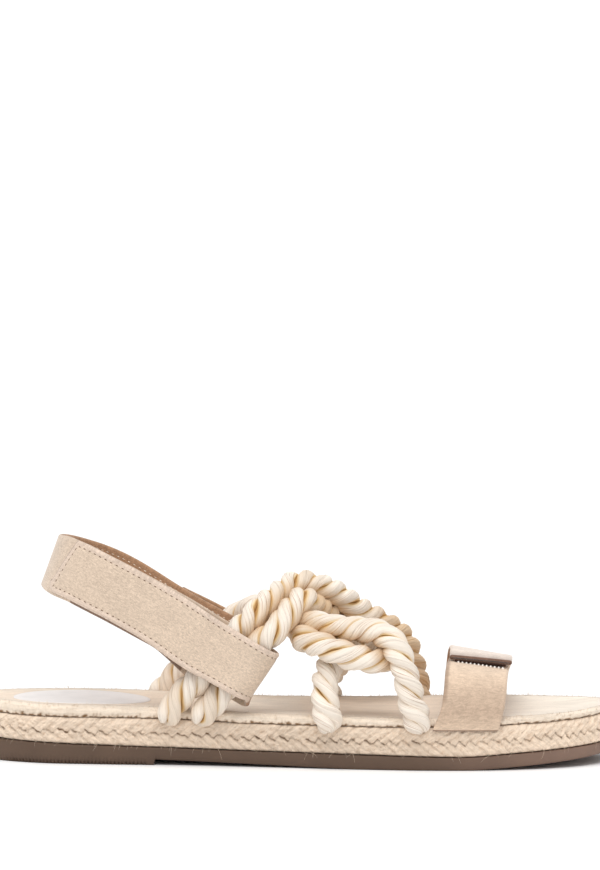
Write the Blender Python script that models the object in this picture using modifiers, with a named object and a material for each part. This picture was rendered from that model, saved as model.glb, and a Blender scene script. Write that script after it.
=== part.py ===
"""Braided rope sandal for a right foot, empty and standing on its sole.

The outsole, the jute midsole and the insole are lofted round one outline. The upper is four
twisted ropes that cross on the instep and are joined there. A heel strap is folded round the
rear ropes, and a toe strap closes over the forefoot with a flap. Sizes are in millimetres,
+X is the toe, +Y the inner side of the foot, +Z up, and the ground is Z = 0.
"""

import math
from collections import namedtuple

import bmesh
import bpy
import numpy as np

MM = 0.001
GAP = 0.3
SHARP_ANGLE = 50.0

# Sole: the outline's end points, and the reach of each side at stations from heel to toe
HEEL_TIP = (-129.5, 0.0)
TOE_TIP = (129.5, 4.0)
Reach = namedtuple("Reach", "x lateral medial")
OUTLINE = (
    Reach(-121.0, 19.0, 18.5),
    Reach(-104.0, 29.0, 28.0),
    Reach(-78.0, 32.0, 31.0),
    Reach(-45.0, 33.2, 29.5),
    Reach(-10.0, 37.0, 31.0),
    Reach(25.0, 41.3, 36.3),
    Reach(55.0, 42.6, 42.0),
    Reach(82.0, 39.5, 41.2),
    Reach(106.0, 30.5, 34.5),
    Reach(121.5, 17.5, 22.5),
)
SIDE_POINTS = 26
OUTLINE_STEPS = 24

# Heights of the sole's layers along the foot
Profile = namedtuple("Profile", "x ground outsole_top midsole_top insole_thickness")
PROFILE = (
    Profile(-129.5, 0.9, 9.3, 19.4, 5.2),
    Profile(-117.0, 0.0, 8.8, 18.9, 5.2),
    Profile(-95.0, 0.0, 8.1, 18.5, 5.2),
    Profile(-60.0, 0.0, 7.2, 18.5, 4.8),
    Profile(-20.0, 0.0, 6.4, 17.2, 4.4),
    Profile(28.0, 0.0, 5.8, 16.9, 3.9),
    Profile(66.0, 0.0, 5.2, 17.2, 3.6),
    Profile(85.0, 1.0, 6.3, 17.9, 3.4),
    Profile(108.0, 2.7, 7.7, 18.9, 3.0),
    Profile(129.5, 4.8, 9.2, 20.6, 2.8),
)

# Side walls, as the share of a layer's height and how far the wall lies inside the outline
Wall = namedtuple("Wall", "share inset")
OUTSOLE_WALL = (Wall(0.0, 2.4), Wall(0.10, 1.7), Wall(1.0, 1.0))
MIDSOLE_WALL = (
    Wall(0.0, 1.6),
    Wall(0.10, 0.5),
    Wall(0.24, 0.0),
    Wall(0.36, 0.4),
    Wall(0.45, 1.5),
    Wall(0.54, 0.5),
    Wall(0.72, 0.0),
    Wall(0.90, 0.6),
    Wall(1.0, 2.0),
)
INSOLE_WALL = (Wall(0.0, 2.8), Wall(0.22, 1.5), Wall(0.60, 1.2), Wall(0.88, 1.7), Wall(1.0, 3.0))
INSOLE_DISH = 1.0
INSOLE_ACROSS = 6

# Arch under the waist, behind which the heel stands as a block
HEEL_BREAST_X = -57.4
Arch = namedtuple("Arch", "x z")
ARCH = (Arch(HEEL_BREAST_X, -4.0), Arch(-56.4, 2.3), Arch(-43.0, 1.9), Arch(0.0, 0.7), Arch(27.0, -0.1))
ARCH_HALF_WIDTH = 60.0

# Rope of three strands with a left-hand lay, longer at the rear leg than at the front leg
ROPE_RADIUS = 5.5
REAR_PITCH = 24.0
FRONT_PITCH = 19.0
ROPE_STEP = 2.6
STRANDS = 3
Lobe = namedtuple("Lobe", "angle reach")
LOBE = (Lobe(-60.0, 0.72), Lobe(-22.0, 1.0), Lobe(22.0, 1.0))
DOME_STEPS = (0.04, 0.22, 0.52)
NOTCH_SIDES = 16
NOTCH_HEIGHT = 16.0

# Routes of the four ropes, from the rear leg over the instep to the front leg
Knot = namedtuple("Knot", "x y z")
REAR_LATERAL_TO_FRONT_MEDIAL = (
    Knot(-52.4, -32.6, 20.8),
    Knot(-46.2, -32.8, 28.8),
    Knot(-37.6, -31.8, 36.4),
    Knot(-30.0, -30.6, 46.4),
    Knot(-21.6, -28.6, 56.0),
    Knot(-12.4, -19.6, 63.8),
    Knot(0.4, -2.0, 70.0),
    Knot(14.0, 9.0, 65.6),
    Knot(24.6, 19.4, 57.0),
    Knot(34.6, 28.0, 50.6),
    Knot(42.4, 35.4, 43.6),
    Knot(46.6, 40.6, 32.6),
    Knot(48.0, 42.0, 25.0),
    Knot(48.6, 42.0, 19.4),
)
SECOND_LATERAL_TO_FIRST_MEDIAL = (
    Knot(-39.2, -33.4, 20.4),
    Knot(-31.6, -33.2, 28.4),
    Knot(-24.0, -32.7, 37.4),
    Knot(-14.2, -31.9, 50.0),
    Knot(-8.0, -29.4, 55.2),
    Knot(-3.2, -23.6, 61.0),
    Knot(1.6, -15.4, 65.0),
    Knot(6.2, -5.0, 61.2),
    Knot(10.2, 6.4, 57.4),
    Knot(15.4, 18.0, 52.0),
    Knot(20.6, 27.0, 47.6),
    Knot(27.0, 31.6, 43.4),
    Knot(33.4, 29.4, 41.2),
    Knot(36.0, 23.4, 41.6),
    Knot(33.6, 17.2, 42.6),
    Knot(27.8, 14.4, 42.4),
    Knot(21.2, 16.6, 39.4),
    Knot(15.8, 23.4, 34.4),
    Knot(12.6, 30.6, 27.6),
    Knot(12.2, 33.8, 19.4),
)
REAR_MEDIAL_TO_FRONT_LATERAL = (
    Knot(-55.0, 29.8, 20.8),
    Knot(-48.8, 31.2, 28.8),
    Knot(-40.2, 31.4, 36.4),
    Knot(-28.6, 30.6, 50.2),
    Knot(-19.6, 27.8, 55.6),
    Knot(-12.4, 13.6, 58.2),
    Knot(-6.4, -0.6, 59.2),
    Knot(-1.6, -11.4, 56.4),
    Knot(4.4, -20.6, 55.8),
    Knot(11.6, -26.2, 56.2),
    Knot(19.0, -29.6, 55.0),
    Knot(27.0, -31.8, 55.2),
    Knot(34.6, -34.4, 53.6),
    Knot(40.6, -40.0, 46.8),
    Knot(44.0, -42.2, 35.8),
    Knot(45.8, -42.0, 25.0),
    Knot(46.6, -42.0, 19.4),
)
SECOND_MEDIAL_TO_FIRST_LATERAL = (
    Knot(-41.8, 29.4, 20.4),
    Knot(-34.2, 31.0, 28.4),
    Knot(-26.6, 31.6, 37.4),
    Knot(-15.8, 31.0, 49.2),
    Knot(-6.2, 21.8, 53.6),
    Knot(0.2, 5.0, 51.4),
    Knot(3.8, -14.0, 49.4),
    Knot(2.6, -27.0, 51.0),
    Knot(9.8, -33.8, 48.8),
    Knot(20.4, -37.2, 45.4),
    Knot(28.6, -36.4, 43.8),
    Knot(34.4, -33.4, 43.4),
    Knot(37.2, -27.8, 44.8),
    Knot(34.6, -21.8, 46.4),
    Knot(28.4, -19.2, 47.2),
    Knot(20.6, -19.6, 45.6),
    Knot(15.2, -23.6, 42.4),
    Knot(12.4, -29.0, 38.2),
    Knot(11.2, -34.6, 32.8),
    Knot(11.1, -38.6, 26.6),
    Knot(11.6, -39.8, 19.4),
)
ROUTES = {
    "rope_rear_lateral": REAR_LATERAL_TO_FRONT_MEDIAL,
    "rope_second_lateral": SECOND_LATERAL_TO_FIRST_MEDIAL,
    "rope_rear_medial": REAR_MEDIAL_TO_FRONT_LATERAL,
    "rope_second_medial": SECOND_MEDIAL_TO_FIRST_LATERAL,
}

# Heel strap: a band in a plane that falls to the front, where u runs forward and v to the medial side
STRAP_THICKNESS = 2.0
HEEL_STRAP_WIDTH = 24.2
HEEL_STRAP_SLOPE = 27.5
HEEL_STRAP_ORIGIN = (-20.9, 0.0, 39.1)
HEEL_LEAN_BACK = 8.0
HEEL_LEAN_FRONT = 5.0
HEEL_LEAN_IN = 7.0
HEEL_FRONT_RUN = 40.0
HEEL_CENTRE_U = -58.0
HEEL_LENGTH = 29.3
HEEL_HALF_WIDTH = 30.4
# The lateral side of the strap bows up between the heel's back and the fold, the medial side hangs lower,
# and the strap's upper edge comes down at the heel's back
Bow = namedtuple("Bow", "u lift")
HEEL_BOW = (
    Bow(-88.0, 0.0),
    Bow(-73.0, 2.6),
    Bow(-56.0, 3.3),
    Bow(-35.0, 2.8),
    Bow(-17.0, 1.1),
    Bow(3.0, 0.0),
)
HEEL_BOW_WIDTH = 25.0
HEEL_MEDIAL_DROP = 1.2
HEEL_BACK_NARROW = 1.05
HEEL_BACK_SHARPNESS = 4
LAYER_PITCH = 2.5
FOLD_SLACK = 1.3
FOLD_RADIUS = ROPE_RADIUS + FOLD_SLACK + STRAP_THICKNESS / 2
FOLD_STEPS = 8
BACK_STEPS = 16
OVERLAP_STEPS = 7
OVERLAP_END = -36.0
Bight = namedtuple("Bight", "u v")
LATERAL_BIGHT = Bight(0.0, -32.9)
MEDIAL_BIGHT = Bight(-0.7, 31.9)
Lay = namedtuple("Lay", "u inner outer")
LATERAL_LAY = (
    Lay(-12.0, -23.1, -38.9),
    Lay(-23.0, -24.6, -37.6),
    Lay(-34.0, -28.2, -35.8),
    Lay(-46.0, -30.2, -33.9),
)
MEDIAL_LAY = (
    Lay(-13.0, 23.0, 38.8),
    Lay(-24.0, 24.6, 37.1),
    Lay(-34.0, 28.0, 33.4),
    Lay(-46.0, 30.2, 33.2),
)
MEDIAL_RETURN_ROWS = 3
ROUNDED_END = (0.74, 0.92, 1.0)

# Toe strap: its two halves climb from the sole's edge, each row a height and a way in from the edge
TOE_STRAP_WIDTH = 25.0
TOE_ACROSS = 4
TOE_BASE_TILT = 0.11
TOE_FLAP_TILT = 0.16
TOE_TILT_RISE = 20.0
TOE_BASE_FLARE = 1.5
TOE_FLARE_RISE = 8.0
TOE_SLOT_ROWS = 3
Climb = namedtuple("Climb", "inset z x")
TOE_BASE = (
    Climb(-0.2, 16.0, 67.9),
    Climb(-0.6, 21.0, 69.2),
    Climb(0.2, 26.4, 70.4),
    Climb(2.8, 32.0, 71.1),
    Climb(8.0, 36.6, 71.5),
    Climb(15.5, 39.0, 72.0),
    Climb(25.0, 39.5, 72.6),
    Climb(36.0, 39.0, 73.0),
    Climb(46.0, 38.4, 73.4),
)
TOE_FLAP = (
    Climb(-0.2, 16.0, 71.8),
    Climb(-0.6, 21.0, 72.0),
    Climb(0.2, 27.5, 72.4),
    Climb(3.2, 32.6, 72.8),
    Climb(9.0, 37.0, 73.2),
    Climb(18.0, 39.8, 73.6),
    Climb(30.0, 41.2, 73.8),
    Climb(44.0, 42.6, 73.8),
    Climb(55.0, 43.3, 73.6),
    Climb(63.0, 42.4, 73.4),
)

# Colours of the real materials: linear red, green, blue, then roughness
Finish = namedtuple("Finish", "colour roughness")
FINISHES = {
    "outsole": Finish((0.188, 0.122, 0.102), 0.7),
    "midsole": Finish((0.730, 0.578, 0.413), 0.95),
    "insole": Finish((0.823, 0.701, 0.565), 0.95),
    "rope_upper": Finish((0.847, 0.730, 0.540), 0.9),
    "heel_strap": Finish((0.768, 0.610, 0.479), 0.95),
    "toe_strap_base": Finish((0.768, 0.591, 0.462), 0.95),
    "toe_strap_flap": Finish((0.768, 0.591, 0.462), 0.95),
}


def clear_scene():
    for obj in list(bpy.data.objects):
        bpy.data.objects.remove(obj, do_unlink=True)


def new_collection(name):
    collection = bpy.data.collections.new(name)
    bpy.context.scene.collection.children.link(collection)
    return collection


def finish(name):
    """A matte material of the part's own colour."""
    material = bpy.data.materials.new(name)
    material.use_nodes = True
    shader = material.node_tree.nodes["Principled BSDF"]
    shader.inputs["Base Color"].default_value = (*FINISHES[name].colour, 1.0)
    shader.inputs["Roughness"].default_value = FINISHES[name].roughness
    shader.inputs["Metallic"].default_value = 0.0
    return material


def add_object(name, mesh, collection):
    obj = bpy.data.objects.new(name, mesh)
    collection.objects.link(obj)
    return obj


def add_part(name, mesh, collection):
    mesh.shade_smooth()
    mesh.set_sharp_from_angle(angle=math.radians(SHARP_ANGLE))
    mesh.materials.append(finish(name))
    return add_object(name, mesh, collection)


def as_helper(obj):
    obj.hide_render = True
    obj.display_type = "WIRE"
    return obj


def column(table, field):
    return np.array([getattr(row, field) for row in table], float)


def monotone(xs, ys, x):
    """A smooth curve through the rows that stays level between two equal heights."""
    steps = np.diff(xs)
    slopes = np.diff(ys) / steps
    turn = slopes[:-1] * slopes[1:] > 0
    total = np.where(turn, slopes[:-1] + slopes[1:], 1.0)
    tangents = np.zeros(len(xs))
    tangents[1:-1] = np.where(turn, 2.0 * slopes[:-1] * slopes[1:] / total, 0.0)
    tangents[0] = slopes[0]
    tangents[-1] = slopes[-1]
    x = np.clip(x, xs[0], xs[-1])
    i = np.clip(np.searchsorted(xs, x, side="right") - 1, 0, len(steps) - 1)
    t = (x - xs[i]) / steps[i]
    rise = ys[i] * (1 + 2 * t) * (1 - t) ** 2 + ys[i + 1] * t * t * (3 - 2 * t)
    return rise + steps[i] * (tangents[i] * t * (1 - t) ** 2 - tangents[i + 1] * t * t * (1 - t))


def height(field, x):
    return monotone(column(PROFILE, "x"), column(PROFILE, field), x)


def through(points, per_span=12, closed=False):
    """A centripetal Catmull-Rom curve through the points."""
    points = np.array(points, float)
    if closed:
        points = np.vstack([points[-1], points, points[:2]])
    else:
        points = np.vstack([2 * points[0] - points[1], points, 2 * points[-1] - points[-2]])
    gaps = np.sqrt(np.linalg.norm(np.diff(points, axis=0), axis=1))
    knots = np.concatenate([[0.0], np.cumsum(gaps)])
    curve = []
    for i in range(1, len(points) - 2):
        t = np.linspace(knots[i], knots[i + 1], per_span, endpoint=False)[:, None]
        near = [
            ((knots[k + 1] - t) * points[k] + (t - knots[k]) * points[k + 1]) / (knots[k + 1] - knots[k])
            for k in (i - 1, i, i + 1)
        ]
        far = [
            ((knots[i + 1 + k] - t) * near[k] + (t - knots[i - 1 + k]) * near[k + 1])
            / (knots[i + 1 + k] - knots[i - 1 + k])
            for k in (0, 1)
        ]
        curve.append(((knots[i + 1] - t) * far[0] + (t - knots[i]) * far[1]) / (knots[i + 1] - knots[i]))
    if not closed:
        curve.append(points[-2:-1])
    return np.vstack(curve)


def evenly(points, count):
    """The same curve at count points that lie evenly along it."""
    lengths = np.concatenate([[0.0], np.cumsum(np.linalg.norm(np.diff(points, axis=0), axis=1))])
    marks = np.linspace(0.0, lengths[-1], count)
    return np.stack([np.interp(marks, lengths, axis) for axis in points.T], axis=1)


def run_length(points):
    return float(np.linalg.norm(np.diff(points, axis=0), axis=1).sum())


def sole_outline():
    """The outline from the heel's tip along the lateral side to the toe's tip, and back."""
    lateral = [(row.x, -row.lateral) for row in OUTLINE]
    medial = [(row.x, row.medial) for row in reversed(OUTLINE)]
    loop = through([HEEL_TIP, *lateral, TOE_TIP, *medial], OUTLINE_STEPS, closed=True)
    toe = (len(lateral) + 1) * OUTLINE_STEPS
    out = evenly(loop[: toe + 1], SIDE_POINTS + 1)
    back = evenly(np.vstack([loop[toe:], loop[:1]]), SIDE_POINTS + 1)
    return np.vstack([out[:-1], back[:-1]])


def pulled_in(loop, inset):
    """A loop moved inwards along its own normals."""
    run = np.roll(loop, -1, axis=0) - np.roll(loop, 1, axis=0)
    run /= np.linalg.norm(run, axis=1)[:, None]
    return loop + inset * np.stack([-run[:, 1], run[:, 0]], axis=1)


def edge_y(x, side):
    """Where the outline lies at x, on the lateral side (-1) or the medial side (1)."""
    loop = sole_outline()
    half = loop if side < 0 else np.vstack([loop[:1], loop[::-1]])
    half = half[: SIDE_POINTS + 1]
    return np.interp(x, half[:, 0], half[:, 1])


def mesh_from(name, points, faces):
    mesh = bpy.data.meshes.new(name)
    mesh.from_pydata((np.asarray(points) * MM).tolist(), [], faces)
    work = bmesh.new()
    work.from_mesh(mesh)
    bmesh.ops.recalc_face_normals(work, faces=work.faces)
    work.to_mesh(mesh)
    work.free()
    mesh.update()
    return mesh


def cap_faces(start, count):
    """Faces over a ring of points, in strips between the same places on the two sides."""
    half = count // 2
    lateral = [start + i for i in range(half + 1)]
    medial = [start] + [start + count - i for i in range(1, half)] + [start + half]
    faces = [(lateral[0], lateral[1], medial[1]), (lateral[-2], lateral[-1], medial[-2])]
    faces += [(lateral[i], lateral[i + 1], medial[i + 1], medial[i]) for i in range(1, half - 1)]
    return faces


def dished_cap(points, start, count, across, dish):
    """Points and faces of a top that sinks by dish along its middle."""
    half = count // 2
    rows = []
    added = []
    for i in range(1, half):
        left = points[start + i]
        right = points[start + count - i]
        row = [start + i]
        for k in range(1, across):
            share = k / across
            sink = dish * (1 - (2 * share - 1) ** 2)
            row.append(len(points) + len(added))
            added.append(left + (right - left) * share - np.array([0.0, 0.0, sink]))
        rows.append(row + [start + count - i])
    faces = [(start, rows[0][k], rows[0][k + 1]) for k in range(across)]
    faces += [(start + half, rows[-1][k + 1], rows[-1][k]) for k in range(across)]
    for low, high in zip(rows, rows[1:]):
        faces += [(low[k], high[k], high[k + 1], low[k + 1]) for k in range(across)]
    return added, faces


def sole_layer(name, wall, bottom, top, dish=0.0):
    """A layer of the sole: its wall goes up round the outline, closed below and above."""
    loop = sole_outline()
    count = len(loop)
    low = bottom(loop[:, 0])
    rise = top(loop[:, 0]) - low
    rings = [np.column_stack([pulled_in(loop, row.inset), low + row.share * rise]) for row in wall]
    points = list(np.vstack(rings))
    faces = []
    for level in range(len(wall) - 1):
        for i in range(count):
            a = level * count + i
            b = level * count + (i + 1) % count
            faces.append((a, b, b + count, a + count))
    last = (len(wall) - 1) * count
    faces += cap_faces(0, count)
    if dish:
        added, over = dished_cap(points, last, count, INSOLE_ACROSS, dish)
        points += added
        faces += over
    else:
        faces += cap_faces(last, count)
    return mesh_from(name, points, faces)


def boolean(obj, operation, other):
    modifier = obj.modifiers.new(operation.title() + " " + other.name, "BOOLEAN")
    modifier.operation = operation
    modifier.solver = "EXACT"
    modifier.object = other


def arch_cutter(collection):
    """The hollow under the waist, from the heel's breast to the ball of the foot."""
    outline = [(row.x, row.z) for row in ARCH] + [(ARCH[-1].x, ARCH[0].z)]
    points = [(x, side * ARCH_HALF_WIDTH, z) for side in (-1, 1) for x, z in outline]
    n = len(outline)
    faces = [tuple(range(n)), tuple(range(2 * n - 1, n - 1, -1))]
    faces += [(i, (i + 1) % n, n + (i + 1) % n, n + i) for i in range(n)]
    return as_helper(add_object("arch_cutter", mesh_from("arch_cutter", points, faces), collection))


def section_curve(name, polar, collection):
    """A closed flat outline from angles and reaches, for a curve's bevel."""
    curve = bpy.data.curves.new(name, "CURVE")
    curve.dimensions = "2D"
    spline = curve.splines.new("POLY")
    spline.points.add(len(polar) - 1)
    spline.use_cyclic_u = True
    for point, (angle, reach) in zip(spline.points, polar):
        point.co = (reach * MM * math.cos(angle), reach * MM * math.sin(angle), 0.0, 1.0)
    return as_helper(add_object(name, curve, collection))


def rope_section(collection):
    polar = [
        (math.radians(360.0 / STRANDS * strand + row.angle), ROPE_RADIUS * row.reach)
        for strand in range(STRANDS)
        for row in LOBE
    ]
    return section_curve("rope_section", polar, collection)


def notch_section(collection):
    reach = (ROPE_RADIUS + GAP) / math.cos(math.pi / NOTCH_SIDES)
    polar = [(2 * math.pi * i / NOTCH_SIDES, reach) for i in range(NOTCH_SIDES)]
    return section_curve("notch_section", polar, collection)


def domed(points, radius):
    """The points with more at each end, and the width there that rounds the end to a dome."""
    def dome(end, inner):
        way = (end - inner) / np.linalg.norm(end - inner)
        tip = [end + way * radius * (1 - step) for step in DOME_STEPS]
        return tip, [math.sqrt(1 - (1 - step) ** 2) for step in DOME_STEPS]

    first, first_widths = dome(points[0], points[1])
    last, last_widths = dome(points[-1], points[-2])
    widths = first_widths + [1.0] * len(points) + last_widths[::-1]
    return np.vstack([first, points, last[::-1]]), widths


def lay_turns(run):
    """Turns of the strands at each length, for a pitch that changes evenly from the rear to the front."""
    change = (FRONT_PITCH - REAR_PITCH) / run[-1]
    return np.log1p(change * run / REAR_PITCH) / change


def swept_mesh(name, points, widths, section, twisted):
    """A section carried along the points, turned with the rope's lay if twisted, as one closed mesh."""
    curve = bpy.data.curves.new(name, "CURVE")
    curve.dimensions = "3D"
    curve.twist_mode = "MINIMUM"
    curve.bevel_mode = "OBJECT"
    curve.bevel_object = section
    curve.use_fill_caps = True
    spline = curve.splines.new("POLY")
    spline.points.add(len(points) - 1)
    run = np.concatenate([[0.0], np.cumsum(np.linalg.norm(np.diff(points, axis=0), axis=1))])
    turns = lay_turns(run) if twisted else np.zeros(len(run))
    for point, place, width, turn in zip(spline.points, points, widths, turns):
        point.co = (*(place * MM), 1.0)
        point.radius = width
        point.tilt = 2 * math.pi * turn
    obj = add_object(name, curve, bpy.context.scene.collection)
    bpy.context.view_layer.update()
    graph = bpy.context.evaluated_depsgraph_get()
    mesh = bpy.data.meshes.new_from_object(obj.evaluated_get(graph))
    bpy.data.objects.remove(obj, do_unlink=True)
    bpy.data.curves.remove(curve)
    work = bmesh.new()
    work.from_mesh(mesh)
    bmesh.ops.remove_doubles(work, verts=work.verts, dist=1e-6)
    bmesh.ops.recalc_face_normals(work, faces=work.faces)
    work.to_mesh(mesh)
    work.free()
    return mesh


def rope_points(route):
    curve = through(route)
    return evenly(curve, round(run_length(curve) / ROPE_STEP) + 1)


def rope_upper(parts, cutters):
    """Four twisted ropes, joined where they cross on the instep."""
    section = rope_section(cutters)
    ropes = []
    for name, route in ROUTES.items():
        points, widths = domed(rope_points(route), ROPE_RADIUS)
        ropes.append((name, swept_mesh(name, points, widths, section, True)))
    upper = add_part("rope_upper", ropes[0][1], parts)
    for name, mesh in ropes[1:]:
        boolean(upper, "UNION", as_helper(add_object(name, mesh, cutters)))
    return upper


def rope_notches(cutters):
    """Round pockets at the sole's edge, one for each end of each rope."""
    section = notch_section(cutters)
    notches = []
    for name, route in ROUTES.items():
        points = rope_points(route)
        for end, leg in (("rear", points), ("front", points[::-1])):
            reach = np.argmax(leg[:, 2] > leg[0, 2] + NOTCH_HEIGHT)
            run, widths = domed(leg[: reach + 1], ROPE_RADIUS + GAP)
            mesh = swept_mesh(f"{name}_{end}_notch", run, widths, section, False)
            notches.append(as_helper(add_object(mesh.name, mesh, cutters)))
    return notches


def sheet_mesh(name, rows):
    """A sheet through rows of points, each row as long as the next."""
    across = len(rows[0])
    faces = [
        (r * across + k, r * across + k + 1, (r + 1) * across + k + 1, (r + 1) * across + k)
        for r in range(len(rows) - 1)
        for k in range(across - 1)
    ]
    mesh = bpy.data.meshes.new(name)
    mesh.from_pydata((np.vstack(rows) * MM).tolist(), [], faces)
    return mesh


def thicken(obj, thickness):
    modifier = obj.modifiers.new("Strap thickness", "SOLIDIFY")
    modifier.thickness = thickness * MM
    modifier.offset = 0.0
    modifier.use_even_offset = True


def heel_back(reach, start, end, steps):
    """Half an ellipse round the heel, from one angle to another, reach outside the strap."""
    angles = np.radians(np.linspace(start, end, steps))
    return np.column_stack([
        HEEL_CENTRE_U - (HEEL_LENGTH + reach) * np.cos(angles),
        (HEEL_HALF_WIDTH + reach) * np.sin(angles),
    ])


def fold(bight, side):
    """Half a turn round the rope at the bight, from the foot's side round the front to the outside."""
    angles = np.linspace(0.0, math.pi, FOLD_STEPS + 1)
    return np.column_stack([
        bight.u + FOLD_RADIUS * np.sin(angles),
        bight.v - side * FOLD_RADIUS * np.cos(angles),
    ])


def heel_strap_path():
    """The strap from its overlapping end on the lateral side, round the heel, to the medial return."""
    overlap = heel_back(LAYER_PITCH, OVERLAP_END, -90.0, OVERLAP_STEPS)
    outer = [(row.u, row.outer) for row in reversed(LATERAL_LAY)]
    inner = [(row.u, row.inner) for row in LATERAL_LAY]
    back = heel_back(0.0, -90.0, 90.0, BACK_STEPS)
    medial = [(row.u, row.inner) for row in reversed(MEDIAL_LAY)]
    back_again = [(row.u, row.outer) for row in MEDIAL_LAY[:MEDIAL_RETURN_ROWS]]
    return np.vstack([
        overlap,
        outer,
        fold(LATERAL_BIGHT, -1)[::-1],
        inner,
        back,
        medial,
        fold(MEDIAL_BIGHT, 1),
        back_again,
    ])


def heel_strap_rows():
    path = heel_strap_path()
    slope = math.radians(HEEL_STRAP_SLOPE)
    origin = np.array(HEEL_STRAP_ORIGIN)
    forward = np.array([math.cos(slope), 0.0, -math.sin(slope)])
    centres = origin + path[:, :1] * forward + path[:, 1:] * np.array([0.0, 1.0, 0.0])
    across = np.clip(path[:, 1] / HEEL_BOW_WIDTH, -1.0, 1.0)
    bow = monotone(column(HEEL_BOW, "u"), column(HEEL_BOW, "lift"), path[:, 0])
    centres[:, 2] -= np.where(across < 0, bow, HEEL_MEDIAL_DROP) * across
    side = np.clip(path[:, 1] / HEEL_HALF_WIDTH, -1.0, 1.0)
    back = np.clip((HEEL_CENTRE_U - path[:, 0]) / HEEL_LENGTH, 0.0, 1.0)
    front = np.clip(1 + path[:, 0] / HEEL_FRONT_RUN, 0.0, 1.0)
    lean = math.pi / 2 - slope + np.radians(HEEL_LEAN_BACK * back - HEEL_LEAN_FRONT * front)
    inward = -np.sin(np.radians(HEEL_LEAN_IN)) * side
    up = np.column_stack([np.cos(lean), inward, np.sin(lean)])
    up /= np.linalg.norm(up, axis=1)[:, None]
    narrow = HEEL_BACK_NARROW * back ** HEEL_BACK_SHARPNESS
    centres[:, 2] -= narrow
    half = HEEL_STRAP_WIDTH / 2 - narrow
    half[: len(ROUNDED_END)] *= ROUNDED_END
    return [np.array([c - h * w, c, c + h * w]) for c, h, w in zip(centres, half, up)]


def heel_strap(parts):
    strap = add_part("heel_strap", sheet_mesh("heel_strap", heel_strap_rows()), parts)
    thicken(strap, STRAP_THICKNESS)


def toe_rows(climb, side, base_flare, top_tilt):
    """Rows of a strap half that climbs from the sole's edge and follows its outline in plan."""
    rows = []
    first = climb[0].z
    for row in climb:
        flare = base_flare * max(0.0, 1 - (row.z - first) / TOE_FLARE_RISE)
        offset = np.linspace(-TOE_STRAP_WIDTH / 2 - flare, TOE_STRAP_WIDTH / 2, TOE_ACROSS + 1)
        x = row.x + offset
        y = edge_y(x, side) - side * row.inset
        tilt = top_tilt * min(1.0, (row.z - first) / TOE_TILT_RISE)
        rows.append(np.column_stack([x, y, row.z - tilt * offset]))
    return rows


def toe_strap(name, climb, side, base_flare, top_tilt, parts):
    strap = add_part(name, sheet_mesh(name, toe_rows(climb, side, base_flare, top_tilt)), parts)
    thicken(strap, STRAP_THICKNESS)


def toe_slot(name, climb, side, base_flare, top_tilt, cutters):
    """The pocket at the sole's edge that takes the foot of a strap half."""
    rows = toe_rows(climb[:TOE_SLOT_ROWS], side, base_flare, top_tilt)
    sink = np.array([0.0, 0.0, GAP])
    rows[0] = rows[0] - sink
    for row in rows:
        row[0, 0] -= GAP
        row[-1, 0] += GAP
    slot = as_helper(add_object(name, sheet_mesh(name, rows), cutters))
    thicken(slot, STRAP_THICKNESS + 2 * GAP)
    return slot


def soles(parts, pockets, cutters):
    """Outsole with its arch, jute midsole and insole, the last two with pockets for ropes and straps."""
    def ground(x):
        return height("ground", x)

    def outsole_top(x):
        return height("outsole_top", x)

    def midsole_top(x):
        return height("midsole_top", x)

    def insole_top(x):
        return midsole_top(x) + height("insole_thickness", x)

    def above(surface):
        return lambda x: surface(x) + GAP

    outsole = add_part("outsole", sole_layer("outsole", OUTSOLE_WALL, ground, outsole_top), parts)
    boolean(outsole, "DIFFERENCE", arch_cutter(cutters))
    midsole = add_part("midsole", sole_layer("midsole", MIDSOLE_WALL, above(outsole_top), midsole_top), parts)
    footbed = sole_layer("insole", INSOLE_WALL, above(midsole_top), insole_top, INSOLE_DISH)
    insole = add_part("insole", footbed, parts)
    for pocket in pockets:
        boolean(midsole, "DIFFERENCE", pocket)
        boolean(insole, "DIFFERENCE", pocket)


def main():
    clear_scene()
    parts = new_collection("braided_sandal")
    cutters = new_collection("cutters")
    pockets = rope_notches(cutters)
    pockets.append(toe_slot("toe_base_slot", TOE_BASE, -1, TOE_BASE_FLARE, TOE_BASE_TILT, cutters))
    pockets.append(toe_slot("toe_flap_slot", TOE_FLAP, 1, 0.0, TOE_FLAP_TILT, cutters))
    soles(parts, pockets, cutters)
    rope_upper(parts, cutters)
    heel_strap(parts)
    toe_strap("toe_strap_base", TOE_BASE, -1, TOE_BASE_FLARE, TOE_BASE_TILT, parts)
    toe_strap("toe_strap_flap", TOE_FLAP, 1, 0.0, TOE_FLAP_TILT, parts)


main()
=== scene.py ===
"""Dressed model of a flat sandal with a rope upper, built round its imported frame.

The solids come in as a fixed frame. The pieces here stand for them: a moulded rubber outsole, a
braided jute midsole, a suede insole, four three-strand ropes, and suede straps with their stitches.
Lengths in the code are millimetres, +X is the toe, +Y the inner side of the foot and +Z is up.
"""

import math
from collections import namedtuple

import bpy
import numpy as np
from mathutils import Matrix, Vector


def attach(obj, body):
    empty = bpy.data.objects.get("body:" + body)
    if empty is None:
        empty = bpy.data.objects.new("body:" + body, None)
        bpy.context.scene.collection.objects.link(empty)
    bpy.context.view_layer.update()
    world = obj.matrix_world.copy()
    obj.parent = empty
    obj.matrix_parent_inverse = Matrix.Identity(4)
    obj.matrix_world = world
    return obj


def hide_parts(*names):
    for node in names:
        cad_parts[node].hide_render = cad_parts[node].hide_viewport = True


bl_info = {
    "name": "Rope sandal",
    "version": (1, 0, 0),
    "blender": (4, 5, 0),
    "location": "View3D > Sidebar > Sandal",
    "description": "Builds a dressed rope sandal round its packed solids",
    "category": "Add Mesh",
}

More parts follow.
